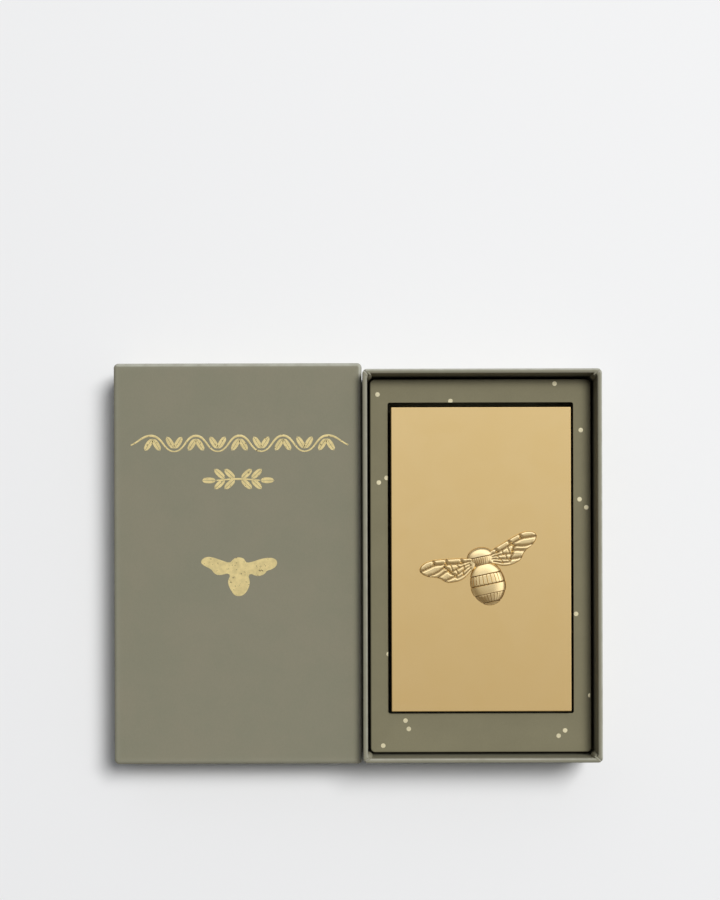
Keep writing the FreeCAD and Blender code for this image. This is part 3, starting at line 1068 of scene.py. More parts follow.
@dataclass
class PaperTray:
    """One half of the presentation box: board under a folded sheet of cover paper."""

    body: str
    opening: Opening
    paper: float = 0.2 * MM
    wall: float = 1.75 * MM
    corner: float = 1.75 * MM
    corner_steps: int = 8
    panel_edge: float = 1.5 * MM
    panel_steps: int = 6
    rim_outer_edge: float = 0.85 * MM
    rim_inner_edge: float = 0.8 * MM
    rim_steps: int = 4
    turn_in_stop: float = 2.1 * MM
    crease_depth: float = 0.28 * MM
    crease_reach: float = 4.0 * MM
    crease_width: float = 0.06 * MM
    tuck_size: Triple = (0.8 * MM, 3.2 * MM, 0.7 * MM)
    tuck_mesh: tuple[int, int] = (20, 14)
    tuck_inset: float = 1.7 * MM
    tuck_slip: float = 0.35 * MM
    tuck_turn: float = -45.0
    bunch_size: Triple = (3.4 * MM, 3.4 * MM, 9.4 * MM)
    bunch_mesh: tuple[int, int] = (24, 20)
    bunch_inset: float = 1.9 * MM
    bunch_drop: float = 5.6 * MM
    fold_gap: float = 0.01 * MM
    sage: Colour = paint(135, 131, 112)
    sage_cloud: Colour = paint(131, 129, 110)
    # Pale edge colour: wear, and painted sheen on the edges that face the light.
    sage_wear_and_sheen: Colour = paint(184, 184, 172)
    low: Vector = field(init=False)
    high: Vector = field(init=False)

    def __post_init__(self) -> None:
        """Reads the tray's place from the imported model."""
        low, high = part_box(f"{self.body}_wrap")
        self.low = Vector(low)
        self.high = Vector(high)

    @property
    def rim(self) -> float:
        """Height of the rim."""
        return self.high.z if self.opening is Opening.UP else self.low.z

    @property
    def panel(self) -> float:
        """Height of the closed panel."""
        return self.low.z if self.opening is Opening.UP else self.high.z

    def build(self) -> None:
        """Builds and dresses the whole tray."""
        self.build_cover()
        self.dress_inside()

    def build_cover(self) -> None:
        """Cover paper: folded up round the panel, over the rim and down inside the walls."""
        middle = (self.low + self.high) / 2
        size = self.high - self.low
        inner = ((size.x - 2 * self.wall) / size.x, (size.y - 2 * self.wall) / size.y, 1.0)
        depth = self.opening.value * (self.turn_in_stop - size.z)
        corners = (Axis.Z, self.corner, self.corner_steps)
        piece = Workpiece.rounded_block(f"{self.body}_cover", self.low, self.high, *corners)

        def on_rim(edge: Edge, inside: bool) -> bool:
            """Whether an edge is on the rim's inner or outer fold."""
            gap = min(inset((edge.verts[0].co + edge.verts[1].co) / 2, self.low, self.high))
            return is_fold(edge, self.rim) and (gap > self.wall / 2) == inside

        with piece.editing():
            piece.pick_edges(lambda edge: is_fold(edge, self.panel))
            piece.bevel(self.panel_edge, self.panel_steps)
            piece.pick_faces(lambda centre, normal: normal.z * self.opening.value > FACING)
            bpy.ops.mesh.delete(type="FACE")
            piece.pick_edges(lambda edge: edge.is_boundary)
            piece.extrude((0.0, 0.0, 0.0))
            bpy.ops.transform.resize(value=inner, center_override=(middle.x, middle.y, self.rim))
            piece.extrude((0.0, 0.0, depth))
            for inside, radius in ((False, self.rim_outer_edge), (True, self.rim_inner_edge)):
                piece.pick_edges(lambda edge: on_rim(edge, inside))
                piece.bevel(radius, self.rim_steps)
            piece.pick_points(self.in_crease)
            bpy.ops.transform.translate(value=(0.0, 0.0, -self.opening.value * self.crease_depth))
        piece.thicken(self.paper)
        if self.opening is Opening.UP:
            self.fold_corners(piece)
        piece.smooth()
        piece.hand_over(self.body, "sage_paper", self.cover_finish().material(), [f"{self.body}_wrap"])

    def in_crease(self, point: Vector) -> bool:
        """Whether a point lies on the mitred fold across a corner of the rim.

        Args:
            point: The point.

        Returns:
            Whether it does.
        """
        across, along = inset(point, self.low, self.high)
        near_rim = abs(point.z - self.rim) < self.rim_outer_edge
        return near_rim and max(across, along) < self.crease_reach and abs(across - along) < self.crease_width

    def fold_corners(self, piece: Workpiece) -> None:
        """Adds the paper that overlaps on each corner of the rim and bunches in each inner corner.

        Args:
            piece: The cover paper.
        """
        middle = (self.low + self.high) / 2
        half = (self.high - self.low) / 2
        tuck = Workpiece.egg("tuck", (0.0, 0.0, 0.0), self.tuck_size, *self.tuck_mesh)
        bunch = Workpiece.egg("bunch", (0.0, 0.0, 0.0), self.bunch_size, *self.bunch_mesh)
        folds = (
            (tuck, self.tuck_inset, self.tuck_slip, self.tuck_size[2] / 2, self.tuck_turn),
            (bunch, self.bunch_inset, 0.0, self.bunch_drop, 0.0),
        )
        for side, end, (fold, edge, slip, drop, turn) in product((-1, 1), (-1, 1), folds):
            across = middle.x + side * (half.x - edge - slip)
            along = middle.y + end * (half.y - edge + slip)
            twin = fold.copy(f"{fold.obj.name}_twin")
            twin.place((across, along, self.rim - drop), turn * side * end)
            piece.merge(twin)
        tuck.discard()
        bunch.discard()
        piece.clean(self.fold_gap)

    def cover_finish(self) -> PaperFinish:
        """Finish of the cover paper, paled along the edges of this tray by wear and a painted sheen."""
        edges = {"wear_and_sheen": self.sage_wear_and_sheen, "box_low": tuple(self.low), "box_high": tuple(self.high)}
        return PaperFinish(f"sage_paper_{self.body}", self.sage, self.sage_cloud, **edges)

    def dress_inside(self) -> None:
        """Dresses the board, the corner stays and the lining."""
        board = PaperFinish(
            name=f"grey_board_{self.body}",
            colour=paint(158, 154, 144),
            cloud=paint(146, 141, 130),
            speck=paint(96, 92, 84),
            fibre_scale=1500.0,
        )
        tape = PaperFinish(
            name=f"kraft_tape_{self.body}",
            colour=paint(172, 142, 110),
            cloud=paint(160, 130, 98),
            fibre_scale=1800.0,
        )
        lining = PaperFinish(
            name=f"lining_paper_{self.body}",
            colour=paint(126, 126, 108),
            cloud=paint(118, 118, 100),
        )
        for part, finish in (("board", board), ("corner_stays", tape), ("lining", lining)):
            dress_node(f"{self.body}_{part}", finish)


@dataclass(frozen=True)
class Vein:
    """A vein of the wing, through points given in millimetres, and how strong it is."""

    points: tuple[Pair, ...]
    strength: float = 1.0

    def distance(self, place: Vector) -> float:
        """Distance from a place to the vein, seen from above.

        Args:
            place: The place.

        Returns:
            The distance in metres.
        """
        nearest = math.inf
        for start, end in zip(self.points, self.points[1:]):
            first = Vector(start) * MM
            last = Vector(end) * MM
            spot, share = intersect_point_line(place.xy, first, last)
            spot = first if share < 0 else last if share > 1 else spot
            nearest = min(nearest, (place.xy - spot).length)
        return nearest


@dataclass
class BeeDrawing:
    """Outlines of the bee, in millimetres, with its head towards +Y and its right wing along +X."""

    wing: tuple[Pair, ...] = (
        (2.4, 1.2), (4.8, 2.2), (10.6, 3.8), (15.0, 4.8), (18.0, 5.2), (20.4, 4.9), (22.0, 4.0), (22.6, 2.8),
        (22.2, 1.6), (20.9, 0.2), (18.8, -0.9), (17.2, -1.6), (15.9, -2.6), (15.2, -3.5), (14.0, -4.4),
        (12.4, -4.9), (9.6, -5.1), (7.6, -4.7), (4.8, -3.2), (2.6, -1.9),
    )
    veins: tuple[Vein, ...] = (
        Vein(((4.2, 0.6), (6.9, 0.9), (9.9, 1.5), (12.7, 2.3), (16.8, 3.2), (19.3, 2.8), (22.4, 2.4))),
        Vein(((12.7, 2.3), (13.6, 1.4), (16.0, 0.5), (18.0, 0.1), (20.8, -0.1))),
        Vein(((13.6, 1.4), (12.4, -0.1), (14.1, -0.5), (16.0, -1.2), (17.6, -1.7))),
        Vein(((12.4, -0.1), (12.0, -1.2), (10.6, -2.9), (13.0, -3.3), (15.2, -3.6))),
        Vein(((4.4, -0.1), (6.2, -0.2), (9.3, -0.6), (12.0, -1.2)), 0.75),
        Vein(((4.1, -0.9), (7.3, -1.9), (10.6, -2.9)), 0.75),
        Vein(((4.4, -1.9), (7.2, -3.3), (10.0, -3.9), (10.6, -2.9)), 0.75),
        Vein(((6.9, 0.9), (6.4, 2.7))),
        Vein(((12.4, 2.2), (11.9, 4.2))),
        Vein(((16.8, 3.2), (16.7, 5.1))),
        Vein(((10.9, 1.7), (11.1, -0.9)), 0.5),
        Vein(((8.7, 1.3), (8.5, -0.5)), 0.5),
        Vein(((6.4, -0.2), (6.8, -1.7)), 0.5),
        Vein(((9.6, -0.7), (9.3, -2.5)), 0.5),
        Vein(((7.4, -1.9), (7.6, -3.4)), 0.5),
    )
    silhouette: tuple[Pair, ...] = (
        (0.6, 2.3), (2.2, 1.8), (3.2, 0.5), (5.0, 0.6), (8.6, 1.7), (12.1, 2.1), (13.8, 1.6), (14.5, 0.5),
        (14.2, -0.8), (12.8, -2.0), (10.7, -2.8), (10.0, -3.7), (8.6, -4.4), (7.0, -4.6), (4.3, -4.0),
        (4.4, -6.9), (4.0, -8.8), (3.1, -10.5), (1.9, -11.6), (0.3, -12.0), (-1.2, -11.6), (-2.3, -10.2),
        (-3.3, -8.3), (-3.6, -6.4), (-3.1, -4.0), (-6.3, -4.2), (-8.0, -4.0), (-9.0, -3.2), (-9.8, -2.2),
        (-12.9, -0.4), (-13.6, 0.6), (-12.4, 2.1), (-10.5, 2.5), (-5.6, 1.1), (-2.9, 0.5), (-1.9, 1.4),
        (-0.9, 2.1),
    )


@dataclass(frozen=True)
class Band:
    """A band across the bee's body, with its front and back along Y and its rise in millimetres."""

    front: float
    back: float
    rise: float
    ribs: int = 0
    # Share of painted shade on the band.
    paint_shade: float = 0.0

    def holds(self, point: Vector) -> bool:
        """Whether a point lies in the band."""
        return self.back * MM < point.y < self.front * MM


@dataclass
class BeeRelief:
    """Relief bee on the sleeve's top."""

    drawing: BeeDrawing
    across: float = -0.4 * MM
    along: float = 0.4 * MM
    wing_turn: float = 17.2
    wing_drop: float = 0.7 * MM
    body_turn: float = 12.0
    body_shift: float = 0.8 * MM
    wing_height: float = 1.15 * MM
    wing_steps: int = 6
    wing_edge: float = 0.7 * MM
    wing_edge_steps: int = 3
    wing_grain: float = 0.14 * MM
    vein_width: float = 0.11 * MM
    vein_depth: float = 0.44 * MM
    vein_reach: float = 1.0 * MM
    vein_floor: float = 0.78 * MM
    # Heights over the sleeve's top where the painted shade at the relief's foot fades out.
    shade_start: float = 0.1 * MM
    shade_rise: float = 0.25 * MM
    sink: float = 0.08 * MM
    smooth_angle: float = math.radians(50)
    rib_depth: float = 0.2 * MM
    # Painted shade in the grooves between ribs.
    groove_shade: float = 0.5
    columns: int = 140
    rows: int = 96
    abdomen_centre: Triple = (0.0, -9.6 * MM, 0.0)
    abdomen_size: Triple = (12.7 * MM, 15.8 * MM, 3.4 * MM)
    head_centre: Triple = (-0.7 * MM, 0.3 * MM, 0.0)
    head_size: Triple = (9.8 * MM, 7.4 * MM, 3.0 * MM)
    abdomen_bands: tuple[Band, ...] = (
        Band(-2.6, -6.0, 0.3),
        Band(-6.3, -9.7, 0.16, 14),
        Band(-10.0, -13.2, 0.32),
        Band(-13.4, -16.3, 0.12, 14, 0.25),
        Band(-16.5, -18.6, 0.24),
    )
    head_bands: tuple[Band, ...] = (Band(4.4, 0.7, 0.2), Band(0.4, -3.6, 0.1, 20))

    def build(self) -> None:
        """Builds the bee and lays it on the sleeve."""
        low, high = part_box("sleeve_shell")
        across = (low[0] + high[0]) / 2 + self.across
        along = (low[1] + high[1]) / 2 + self.along
        foot = high[2] - self.sink
        right = self.wing("bee_relief")
        left = right.copy("bee_left_wing")
        left.mirror_across()
        for wing in (right, left):
            wing.place((across, along - self.wing_drop, foot), self.wing_turn)
        abdomen = self.barrel("bee_abdomen", self.abdomen_centre, self.abdomen_size, self.abdomen_bands)
        head = self.barrel("bee_head", self.head_centre, self.head_size, self.head_bands)
        for part in (abdomen, head):
            part.place((across + self.body_shift, along, foot), self.body_turn)
        right.absorb([left, abdomen, head])
        right.smooth(self.smooth_angle)
        # The relief's material paints shade at its foot and in its marked hollows.
        dark = high[2] + self.shade_start
        finish = MetalFinish(
            name="gold_relief",
            # Paler than the sleeve's gold though it is the same metal: a painted highlight.
            colour=(0.97, 0.76, 0.42, 1.0),
            cloud=(0.94, 0.72, 0.37, 1.0),
            roughness=(0.2, 0.24),
            painted_shade=(0.22, 0.13, 0.045, 1.0),
            painted_shade_heights=(dark, dark + self.shade_rise),
        )
        right.hand_over("sleeve", "gold_relief", finish.material(), ["bee_emblem"])

    def wing(self, name: str) -> Workpiece:
        """Right wing: a rounded plate pressed in along its veins, so that soft cells stand up between them.

        Args:
            name: Name of the piece.

        Returns:
            The wing, standing on height 0.
        """
        plate = Workpiece.outline(name, self.drawing.wing, self.wing_steps)
        plate.raise_up(self.wing_height)
        with plate.editing():
            plate.pick_edges(lambda edge: is_fold(edge, self.wing_height))
            plate.bevel(self.wing_edge, self.wing_edge_steps)
        plate.modify("REMESH", mode="VOXEL", voxel_size=self.wing_grain)
        with plate.editing():
            # Each vein gets painted shade as it is pressed in.
            for vein in self.drawing.veins:
                plate.pick_points(lambda point: self.on_vein(point, vein))
                plate.paint_shade(vein.strength)
                plate.press_in(self.vein_depth * vein.strength, self.vein_reach * vein.strength)
        return plate

    def on_vein(self, point: Vector, vein: Vein) -> bool:
        """Whether a point on the upper side of a wing lies on a vein."""
        return point.z > self.vein_floor and vein.distance(point) < self.vein_width

    def barrel(self, name: str, centre: Triple, size: Triple, bands: Sequence[Band]) -> Workpiece:
        """Half of an oval ball with bands across it, some of them ribbed.

        Args:
            name: Name of the piece.
            centre: Centre of the ball.
            size: Its width, length and twice its height.
            bands: The bands across it.

        Returns:
            The part of the body, standing on height 0.
        """
        piece = Workpiece.egg(name, centre, size, 2 * self.columns, self.rows)

        def in_groove(point: Vector, band: Band) -> bool:
            """Whether a point lies in a groove between two ribs of a band."""
            turn = math.atan2(point.z / size[2], (point.x - centre[0]) / size[0]) / math.pi
            return band.holds(point) and round(turn * self.columns) % (self.columns // band.ribs) == 0

        with piece.editing():
            bpy.ops.mesh.select_all(action="SELECT")
            piece.bisect((0.0, 0.0, 1.0), clear_inner=True)
            # Painted shade: full outside the bands, and each band and its grooves their own share.
            piece.pick_points(lambda point: not any(band.holds(point) for band in bands))
            piece.paint_shade()
            for band in bands:
                piece.pick_points(band.holds)
                piece.paint_shade(band.paint_shade)
                bpy.ops.transform.shrink_fatten(value=band.rise * MM)
                if band.ribs:
                    piece.pick_points(lambda point: in_groove(point, band))
                    piece.paint_shade(self.groove_shade)
                    bpy.ops.transform.shrink_fatten(value=-self.rib_depth)
            piece.pick_edges(lambda edge: edge.is_boundary)
            bpy.ops.mesh.edge_face_add()
            piece.face_outwards()
        return piece


@dataclass
class Sleeve:
    """Metal sleeve: sheet folded into a tube, with a striker window in one side and a seam underneath."""

    sheet: float = 0.6 * MM
    bend: float = 0.32 * MM
    bend_steps: int = 6
    end_edge: float = 0.3 * MM
    end_steps: int = 5
    window_rail: float = 4.3 * MM
    window_end: float = 8.3 * MM
    window_corner: float = 2.0 * MM
    window_steps: int = 6
    seam_width: float = 0.4 * MM
    seam_depth: float = 0.3 * MM
    edge: float = 0.1 * MM
    finish: Finish = MetalFinish(
        name="gold_metal",
        colour=(0.91, 0.655, 0.305, 1.0),
        cloud=(0.89, 0.635, 0.285, 1.0),
    )

    def build(self) -> None:
        """Builds and dresses the sleeve."""
        low, high = (Vector(corner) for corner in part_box("sleeve_shell"))
        piece = Workpiece.rounded_block("sleeve_sheet", low, high, Axis.Y, self.bend, self.bend_steps)
        with piece.editing():
            piece.pick_edges(lambda edge: span(edge, Axis.Y) < FLATNESS)
            piece.bevel(self.end_edge, self.end_steps)
        bore = Vector((self.sheet, -self.bend, self.sheet))
        piece.cut_out(Workpiece.block("bore_cutter", low + bore, high - bore))
        piece.cut_out(self.window(low, high))
        middle = (low.x + high.x) / 2
        seam_low = (middle - self.seam_width / 2, low.y - self.bend, low.z - self.seam_depth)
        seam_high = (middle + self.seam_width / 2, high.y + self.bend, low.z + self.seam_depth)
        piece.cut_out(Workpiece.block("seam_cutter", seam_low, seam_high))
        piece.soften(self.edge)
        piece.smooth()
        piece.hand_over("sleeve", "gold_metal", self.finish.material(), ["sleeve_shell"])

    def window(self, low: Vector, high: Vector) -> Workpiece:
        """Cutter for the striker window in the +X side.

        Args:
            low: Lowest corner of the sleeve.
            high: Highest corner of the sleeve.

        Returns:
            A block with rounded corners that goes through that side.
        """
        start = (high.x - 2 * self.sheet, low.y + self.window_end, low.z + self.window_rail)
        end = (high.x + self.sheet, high.y - self.window_end, high.z - self.window_rail)
        corners = (Axis.X, self.window_corner, self.window_steps)
        return Workpiece.rounded_block("window_cutter", start, end, *corners)


@dataclass
class Platform:
    """Folded card with the sleeve's cut-out and a scatter of foil dots."""

    card: float = 0.6 * MM
    corner: float = 1.6 * MM
    corner_steps: int = 6
    fold: float = 0.5 * MM
    fold_steps: int = 4
    side_gap: float = 1.2 * MM
    head_gap: float = 2.0 * MM
    foot_gap: float = 1.0 * MM
    cutout_corner: float = 0.8 * MM
    cutout_steps: int = 5
    cutout_reach: float = 2.4 * MM
    edge: float = 0.07 * MM
    dot_width: float = 1.7 * MM
    dot_points: int = 32
    foil: float = 0.03 * MM
    dots: tuple[Pair, ...] = (
        (-38.2, 63.7), (27.6, 67.6), (37.3, 50.3), (-37.8, 31.0), (36.8, 24.6), (39.3, 21.6), (35.4, -18.0),
        (-34.3, -32.8), (-28.1, -57.5), (-26.9, -60.6), (-36.4, -66.8), (40.6, -48.3), (31.2, -61.3),
        (28.8, -63.3), (-11.1, 61.2), (-34.9, 32.7),
    )
    finish: Finish = PaperFinish(
        name="platform_card",
        colour=paint(128, 123, 99),
        cloud=paint(123, 118, 95),
        roughness=(0.72, 0.84),
    )
    dot_finish: Finish = FoilFinish(
        name="dot_foil",
        foil=(0.86, 0.78, 0.52, 1.0),
        paper=paint(131, 126, 102),
        speck_scale=1800.0,
        cover=0.68,
    )

    def build(self) -> None:
        """Builds and dresses the platform and its dots."""
        low, high = (Vector(corner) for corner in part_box("platform_card"))
        self.build_card(low, high)
        self.build_dots(low, high)

    def build_card(self, low: Vector, high: Vector) -> None:
        """Deck and skirts, folded from one card whose corners are slit.

        Args:
            low: Lowest corner of the platform.
            high: Highest corner of the platform.
        """
        piece = Workpiece.rounded_block("platform_deck", low, high, Axis.Z, self.corner, self.corner_steps)

        def in_corner(centre: Vector, normal: Vector) -> bool:
            """Whether a face is part of a rounded upright corner."""
            return abs(normal.z) < 1.0 - FACING and max(inset(centre, low, high)) < self.corner

        with piece.editing():
            piece.pick_edges(lambda edge: is_fold(edge, high.z))
            piece.bevel(self.fold, self.fold_steps)
            piece.pick_faces(lambda centre, normal: normal.z < -FACING)
            bpy.ops.mesh.delete(type="FACE")
            piece.pick_faces(in_corner)
            bpy.ops.mesh.delete(type="FACE")
        piece.thicken(self.card)
        piece.cut_out(self.cutout(high.z))
        piece.soften(self.edge)
        piece.smooth()
        piece.hand_over("platform", "platform_card", self.finish.material(), ["platform_card"])

    def cutout(self, deck: float) -> Workpiece:
        """Cutter for the sleeve's cut-out.

        Args:
            deck: Height of the deck.

        Returns:
            A block with rounded upright corners.
        """
        low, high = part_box("sleeve_shell")
        start = (low[0] - self.side_gap, low[1] - self.foot_gap, deck - self.cutout_reach)
        end = (high[0] + self.side_gap, high[1] + self.head_gap, deck + self.cutout_reach)
        corners = (Axis.Z, self.cutout_corner, self.cutout_steps)
        return Workpiece.rounded_block("cutout_cutter", start, end, *corners)

    def build_dots(self, low: Vector, high: Vector) -> None:
        """Foil dots scattered on the deck, trimmed where they run over its edges.

        Args:
            low: Lowest corner of the platform.
            high: Highest corner of the platform.
        """
        middle = (low + high) / 2
        deck = high.z
        size = (self.dot_width, self.dot_width)
        dots = Workpiece.disc("platform_dots", (0.0, 0.0, 0.0), *size, self.dot_points)
        dots.raise_up(self.foil)
        with dots.editing():
            dots.pick_faces(lambda centre, normal: normal.z > FACING)
            bpy.ops.mesh.inset(thickness=2 * self.foil, depth=self.foil / 2)
        dots.scatter([(x, y, 0.0) for x, y in self.dots])
        dots.place((middle.x, middle.y, deck))
        dots.cut_out(self.cutout(deck))
        beyond = (high.x - self.fold, low.y, deck - self.card)
        dots.cut_out(Workpiece.block("edge_cutter", beyond, (high.x + self.card, high.y, deck + self.card)))
        dots.smooth()
        dots.hand_over("platform", "platform_card", self.dot_finish.material())


@dataclass
class LidFoil:
    """Foil on the lid: the bee, a running vine and a sprig, drawn in millimetres about the lid's middle."""

    drawing: BeeDrawing
    foil: float = 0.03 * MM
    bee_steps: int = 3
    stroke: float = 0.34 * MM
    stroke_steps: int = 2
    vine_ends: Pair = (-39.5, 40.9)
    vine_height: float = 44.4
    vine_sway: float = 2.9
    vine_end_sway: float = 0.6
    vine_bends: int = 11
    vine_weights: Pair = (0.7, 1.25)
    leaf_length: float = 5.6 * MM
    leaf_width: float = 2.3 * MM
    leaf_points: int = 24
    leaf_tip: float = 0.8
    leaf_taper: float = 0.45
    leaf_edge: float = 0.07 * MM
    leaf_foot: float = 0.9
    leaf_turns: Pair = (58.0, 122.0)
    sprig_centre: Pair = (0.2, 30.8)
    sprig_reach: float = 8.0
    sprig_arch: float = 0.5
    sprig_weights: Triple = (0.6, 1.1, 0.6)
    sprig_pairs: Pair = (1.1, 4.8)
    sprig_turn: float = 43.0
    finish: Finish = FoilFinish(
        name="stamped_foil",
        foil=(0.86, 0.70, 0.33, 1.0),
        paper=paint(96, 84, 58),
        speck_scale=900.0,
        cover=0.62,
    )

    def build(self) -> None:
        """Builds and dresses all the foil on the lid."""
        low, high = (Vector(corner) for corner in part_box("lid_wrap"))
        middle = (low + high) / 2
        material = self.finish.material()
        for piece in (self.bee(), self.vine(), self.sprig()):
            piece.place((middle.x, middle.y, high.z))
            piece.smooth()
            piece.hand_over("lid", "sage_paper", material)

    def bee(self) -> Workpiece:
        """Flat foil bee, stamped as one shape.

        Returns:
            The bee.
        """
        piece = Workpiece.outline("lid_foil_bee", self.drawing.silhouette, self.bee_steps)
        piece.raise_up(self.foil)
        return piece

    def leaf(self) -> Workpiece:
        """Pointed leaf that starts at the origin and points along +X, with a bare line along its middle.

        Returns:
            The leaf.
        """
        reach = self.leaf_length / 2
        centre = (reach, 0.0, 0.0)
        piece = Workpiece.disc("leaf", centre, self.leaf_length, self.leaf_width, self.leaf_points)
        with piece.editing():
            piece.pick_points(lambda point: abs(point.x - reach) > self.leaf_tip * reach)
            bpy.ops.transform.resize(value=(1.0, self.leaf_taper, 1.0), center_override=centre)
            bpy.ops.mesh.select_all(action="SELECT")
            piece.bisect((0.0, -1.0, 0.0))
            piece.pick_faces(lambda centre, normal: True)
            bpy.ops.mesh.inset(thickness=self.leaf_edge, use_individual=True)
            bpy.ops.mesh.select_all(action="INVERT")
            bpy.ops.mesh.delete(type="FACE")
        piece.raise_up(self.foil)
        return piece

    def plant(
        self, name: str, points: Sequence[Pair], weights: Sequence[float], leaves: Sequence[Triple]
    ) -> Workpiece:
        """Stem that swells and thins like a pen's line, with leaves on it.

        Args:
            name: Name of the piece.
            points: Points that the stem goes through.
            weights: Weight of the stem at each point, as a share of the full stroke.
            leaves: Across, along and the turn in degrees of each leaf.

        Returns:
            The stem with its leaves.
        """
        curve = fresh_curve(bpy.ops.curve.primitive_bezier_curve_add, points, weights)
        curve.data.bevel_depth = self.stroke
        curve.data.bevel_resolution = self.stroke_steps
        curve.data.use_fill_caps = True
        curve.scale = (1.0, 1.0, self.foil / self.stroke)
        stem = Workpiece.from_curve(curve, name)
        leaf = self.leaf()
        leaf.scatter(leaves)
        stem.absorb([leaf])
        return stem

    def vine(self) -> Workpiece:
        """Running vine with two leaves at each bend.

        Returns:
            The vine.
        """
        left, right = self.vine_ends
        last = self.vine_bends - 1
        points = []
        leaves = []
        for bend in range(self.vine_bends):
            side = 1 if bend % 2 else -1
            inner = 0 < bend < last
            x = left + bend * (right - left) / last
            y = self.vine_height + side * (self.vine_sway if inner else self.vine_end_sway)
            points.append((x, y))
            if inner:
                leaves += [(x, y - side * self.leaf_foot, -side * turn) for turn in self.leaf_turns]
        weights = [self.vine_weights[bend % 2] for bend in range(self.vine_bends)]
        return self.plant("lid_foil_vine", points, weights, leaves)

    def sprig(self) -> Workpiece:
        """Small sprig under the vine: a short stem with pairs of leaves that point away from its middle.

        Returns:
            The sprig.
        """
        across, along = self.sprig_centre
        stem = ((-self.sprig_reach, 0.0), (0.0, self.sprig_arch), (self.sprig_reach, 0.0))
        points = [(x + across, y + along) for x, y in stem]
        turns = (-self.sprig_turn, self.sprig_turn)
        half = [(self.sprig_reach, 0.0, 0.0)]
        half += [(reach, self.sprig_arch, turn) for reach, turn in product(self.sprig_pairs, turns)]
        leaves = [(x + across, y + along, turn) for x, y, turn in half]
        leaves += [(across - x, y + along, HALF_TURN - turn) for x, y, turn in half]
        return self.plant("lid_foil_sprig", points, self.sprig_weights, leaves)


@dataclass
class MatchBox:
    """Match box inside the sleeve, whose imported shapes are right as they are."""

    cover: Finish = PaperFinish(
        name="cover_card",
        colour=paint(222, 214, 196),
        cloud=paint(214, 205, 185),
        fibre_scale=2000.0,
    )
    tray: Finish = PaperFinish(
        name="tray_card",
        colour=paint(226, 220, 206),
        cloud=paint(218, 211, 195),
        fibre_scale=2000.0,
        speck=paint(190, 180, 160),
        speck_cover=0.68,
    )
    strips: Finish = CrustFinish(
        name="striker_strip",
        colour=paint(92, 58, 48),
        bright=paint(128, 88, 72),
        grain_scale=3200.0,
        grain_depth=0.08 * MM,
    )
    sticks: Finish = WoodFinish(name="stick_wood", colour=paint(224, 200, 160), dark=paint(196, 166, 122))
    heads: Finish = CrustFinish(
        name="head_compound",
        colour=paint(122, 40, 32),
        bright=paint(150, 66, 52),
        grain_scale=2600.0,
        grain_depth=0.12 * MM,
    )

    def build(self) -> None:
        """Dresses the cover, the drawer, the striking strips and the matches."""
        dress_node("matchbox_cover", self.cover)
        dress_node("drawer_tray", self.tray)
        dress_node("striker_strips", self.strips)
        dress_node("match_sticks", self.sticks)
        dress_node("match_heads", self.heads)


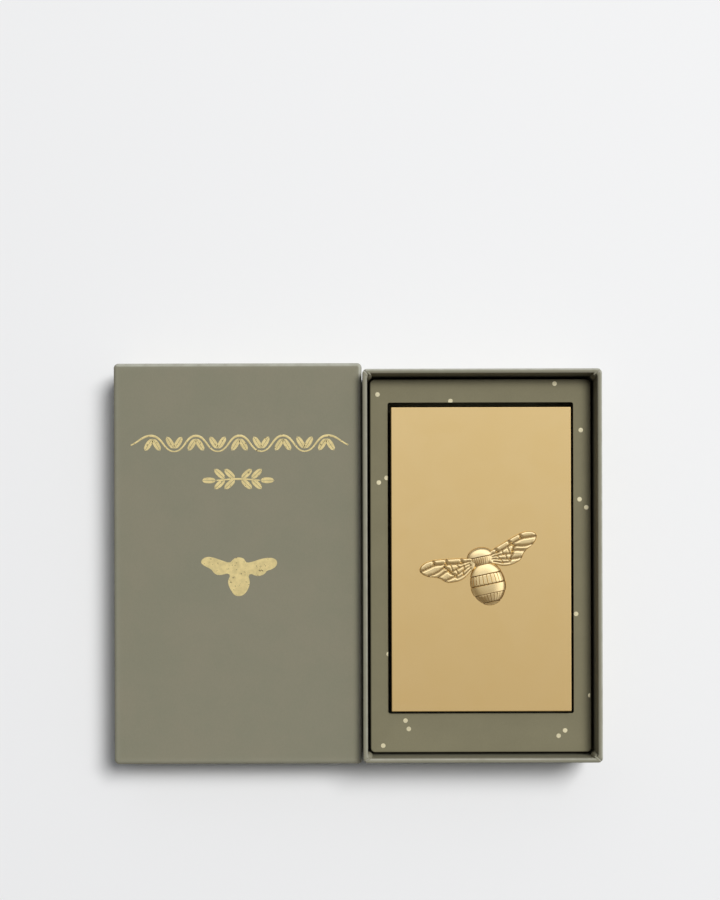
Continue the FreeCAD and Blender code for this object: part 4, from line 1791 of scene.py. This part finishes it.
@dataclass
class Stage:
    """Pale floor, soft studio light and the camera. The sky's spans are in parts of a unit direction."""

    floor_size: float = 1.7
    floor_fade: Pair = (0.38, 0.8)
    floor_colour: Colour = (0.85, 0.85, 0.85, 1.0)
    key_place: Triple = (1.3, 1.15, 4.0)
    key_aim: Triple = (-0.046, 0.0, 0.01)
    key_size: float = 1.55
    key_power: float = 180.0
    fill_foot: Colour = (0.05, 0.05, 0.05, 1.0)
    fill_head: Colour = (0.32, 0.33, 0.35, 1.0)
    fill_side: float = 0.2
    fill_span: Pair = (-0.75, 0.85)
    wall_level: Colour = (0.3, 0.265, 0.215, 1.0)
    wall_span: Pair = (0.12, 0.25)
    ceiling_foot: Colour = (0.44, 0.40, 0.33, 1.0)
    ceiling_head: Colour = (0.88, 0.92, 0.98, 1.0)
    ceiling_span: Pair = (-0.39, 0.36)
    ceiling_start: Pair = (0.5, 0.7)
    lamp_level: Colour = (1.6, 1.62, 1.65, 1.0)
    dim_level: Colour = (0.26, 0.23, 0.18, 1.0)
    lamp_side: float = 0.75
    lamp_span: Pair = (-0.7, 0.8)
    ring_span: Pair = (0.975, 0.88)
    camera_place: Triple = (-0.0456, 0.0011, 0.623)
    camera_roll: float = -0.15
    near_limit: float = 0.01
    lens: float = 64.9
    sensor: float = 36.0
    shift: Pair = (0.0022, 0.1256)

    def build(self) -> None:
        """Sets up the whole stage."""
        bpy.context.scene.view_settings.view_transform = "Standard"
        self.build_floor()
        self.light_sky()
        self.hang_key_light()
        self.set_camera()

    def build_floor(self) -> None:
        """Pale floor that the object lies on, which fades out before its rim."""
        floor = fresh(bpy.ops.mesh.primitive_plane_add, size=self.floor_size, location=(0.0, 0.0, 0.0))
        floor.name = "floor"
        floor.data.materials.append(FloorFinish("floor", self.floor_colour, self.floor_fade).material())

    def light_sky(self) -> None:
        """Fill light, strongest from the head, and the studio in the metal: ceiling, ring of lamps, walls."""
        world = bpy.data.worlds.new("studio")
        bpy.context.scene.world = world
        world.use_nodes = True
        sheet = NodeSheet(world.node_tree)
        background = next(node for node in world.node_tree.nodes if node.type == "BACKGROUND")
        x, y, z = sheet.split(sheet.add("ShaderNodeTexCoord").outputs["Generated"])
        ceiling = sheet.blend(sheet.spread(y, self.ceiling_span), self.ceiling_foot, self.ceiling_head)
        to_lamp = sheet.sum_up("MULTIPLY_ADD", x, self.lamp_side, y)
        ring = sheet.blend(sheet.spread(to_lamp, self.lamp_span), self.dim_level, self.lamp_level)
        ceiling = sheet.blend(sheet.spread(z, self.ring_span), ceiling, ring)
        walls = sheet.blend(sheet.spread(z, self.wall_span), self.floor_colour, self.wall_level)
        studio = sheet.blend(sheet.spread(z, self.ceiling_start), walls, ceiling)
        path = sheet.add("ShaderNodeLightPath").outputs
        seen = sheet.sum_up("MAXIMUM", path["Is Camera Ray"], path["Is Glossy Ray"])
        seen = sheet.sum_up("MAXIMUM", seen, path["Is Transmission Ray"])
        from_head = sheet.sum_up("MULTIPLY_ADD", x, self.fill_side, y)
        fill = sheet.blend(sheet.spread(from_head, self.fill_span), self.fill_foot, self.fill_head)
        sheet.feed(background, {"Color": sheet.blend(seen, fill, studio)})

    def hang_key_light(self) -> None:
        """Soft light from the upper right of the picture."""
        lamp = bpy.data.lights.new("key_light", "AREA")
        lamp.shape = "SQUARE"
        lamp.size = self.key_size
        lamp.energy = self.key_power
        light = bpy.data.objects.new("key_light", lamp)
        light.location = self.key_place
        aim = Vector(self.key_aim) - Vector(self.key_place)
        light.rotation_euler = aim.to_track_quat("-Z", "Y").to_euler()
        light.visible_glossy = False
        bpy.context.collection.objects.link(light)

    def set_camera(self) -> None:
        """Camera that looks straight down, as in the photograph."""
        camera = bpy.data.cameras.new("camera")
        camera.lens = self.lens
        camera.sensor_width = self.sensor
        camera.shift_x, camera.shift_y = self.shift
        camera.clip_start = self.near_limit
        holder = bpy.data.objects.new("camera", camera)
        holder.location = self.camera_place
        holder.rotation_euler = (0.0, 0.0, math.radians(self.camera_roll))
        bpy.context.collection.objects.link(holder)
        bpy.context.scene.camera = holder


def main() -> None:
    """Builds every sub-assembly."""
    logging.basicConfig(level=logging.INFO, format="%(name)s: %(message)s")
    drawing = BeeDrawing()
    Stage().build()
    PaperTray("base", Opening.UP).build()
    PaperTray("lid", Opening.DOWN).build()
    LidFoil(drawing).build()
    Platform().build()
    Sleeve().build()
    BeeRelief(drawing).build()
    MatchBox().build()


if __name__ == "__main__":
    main()
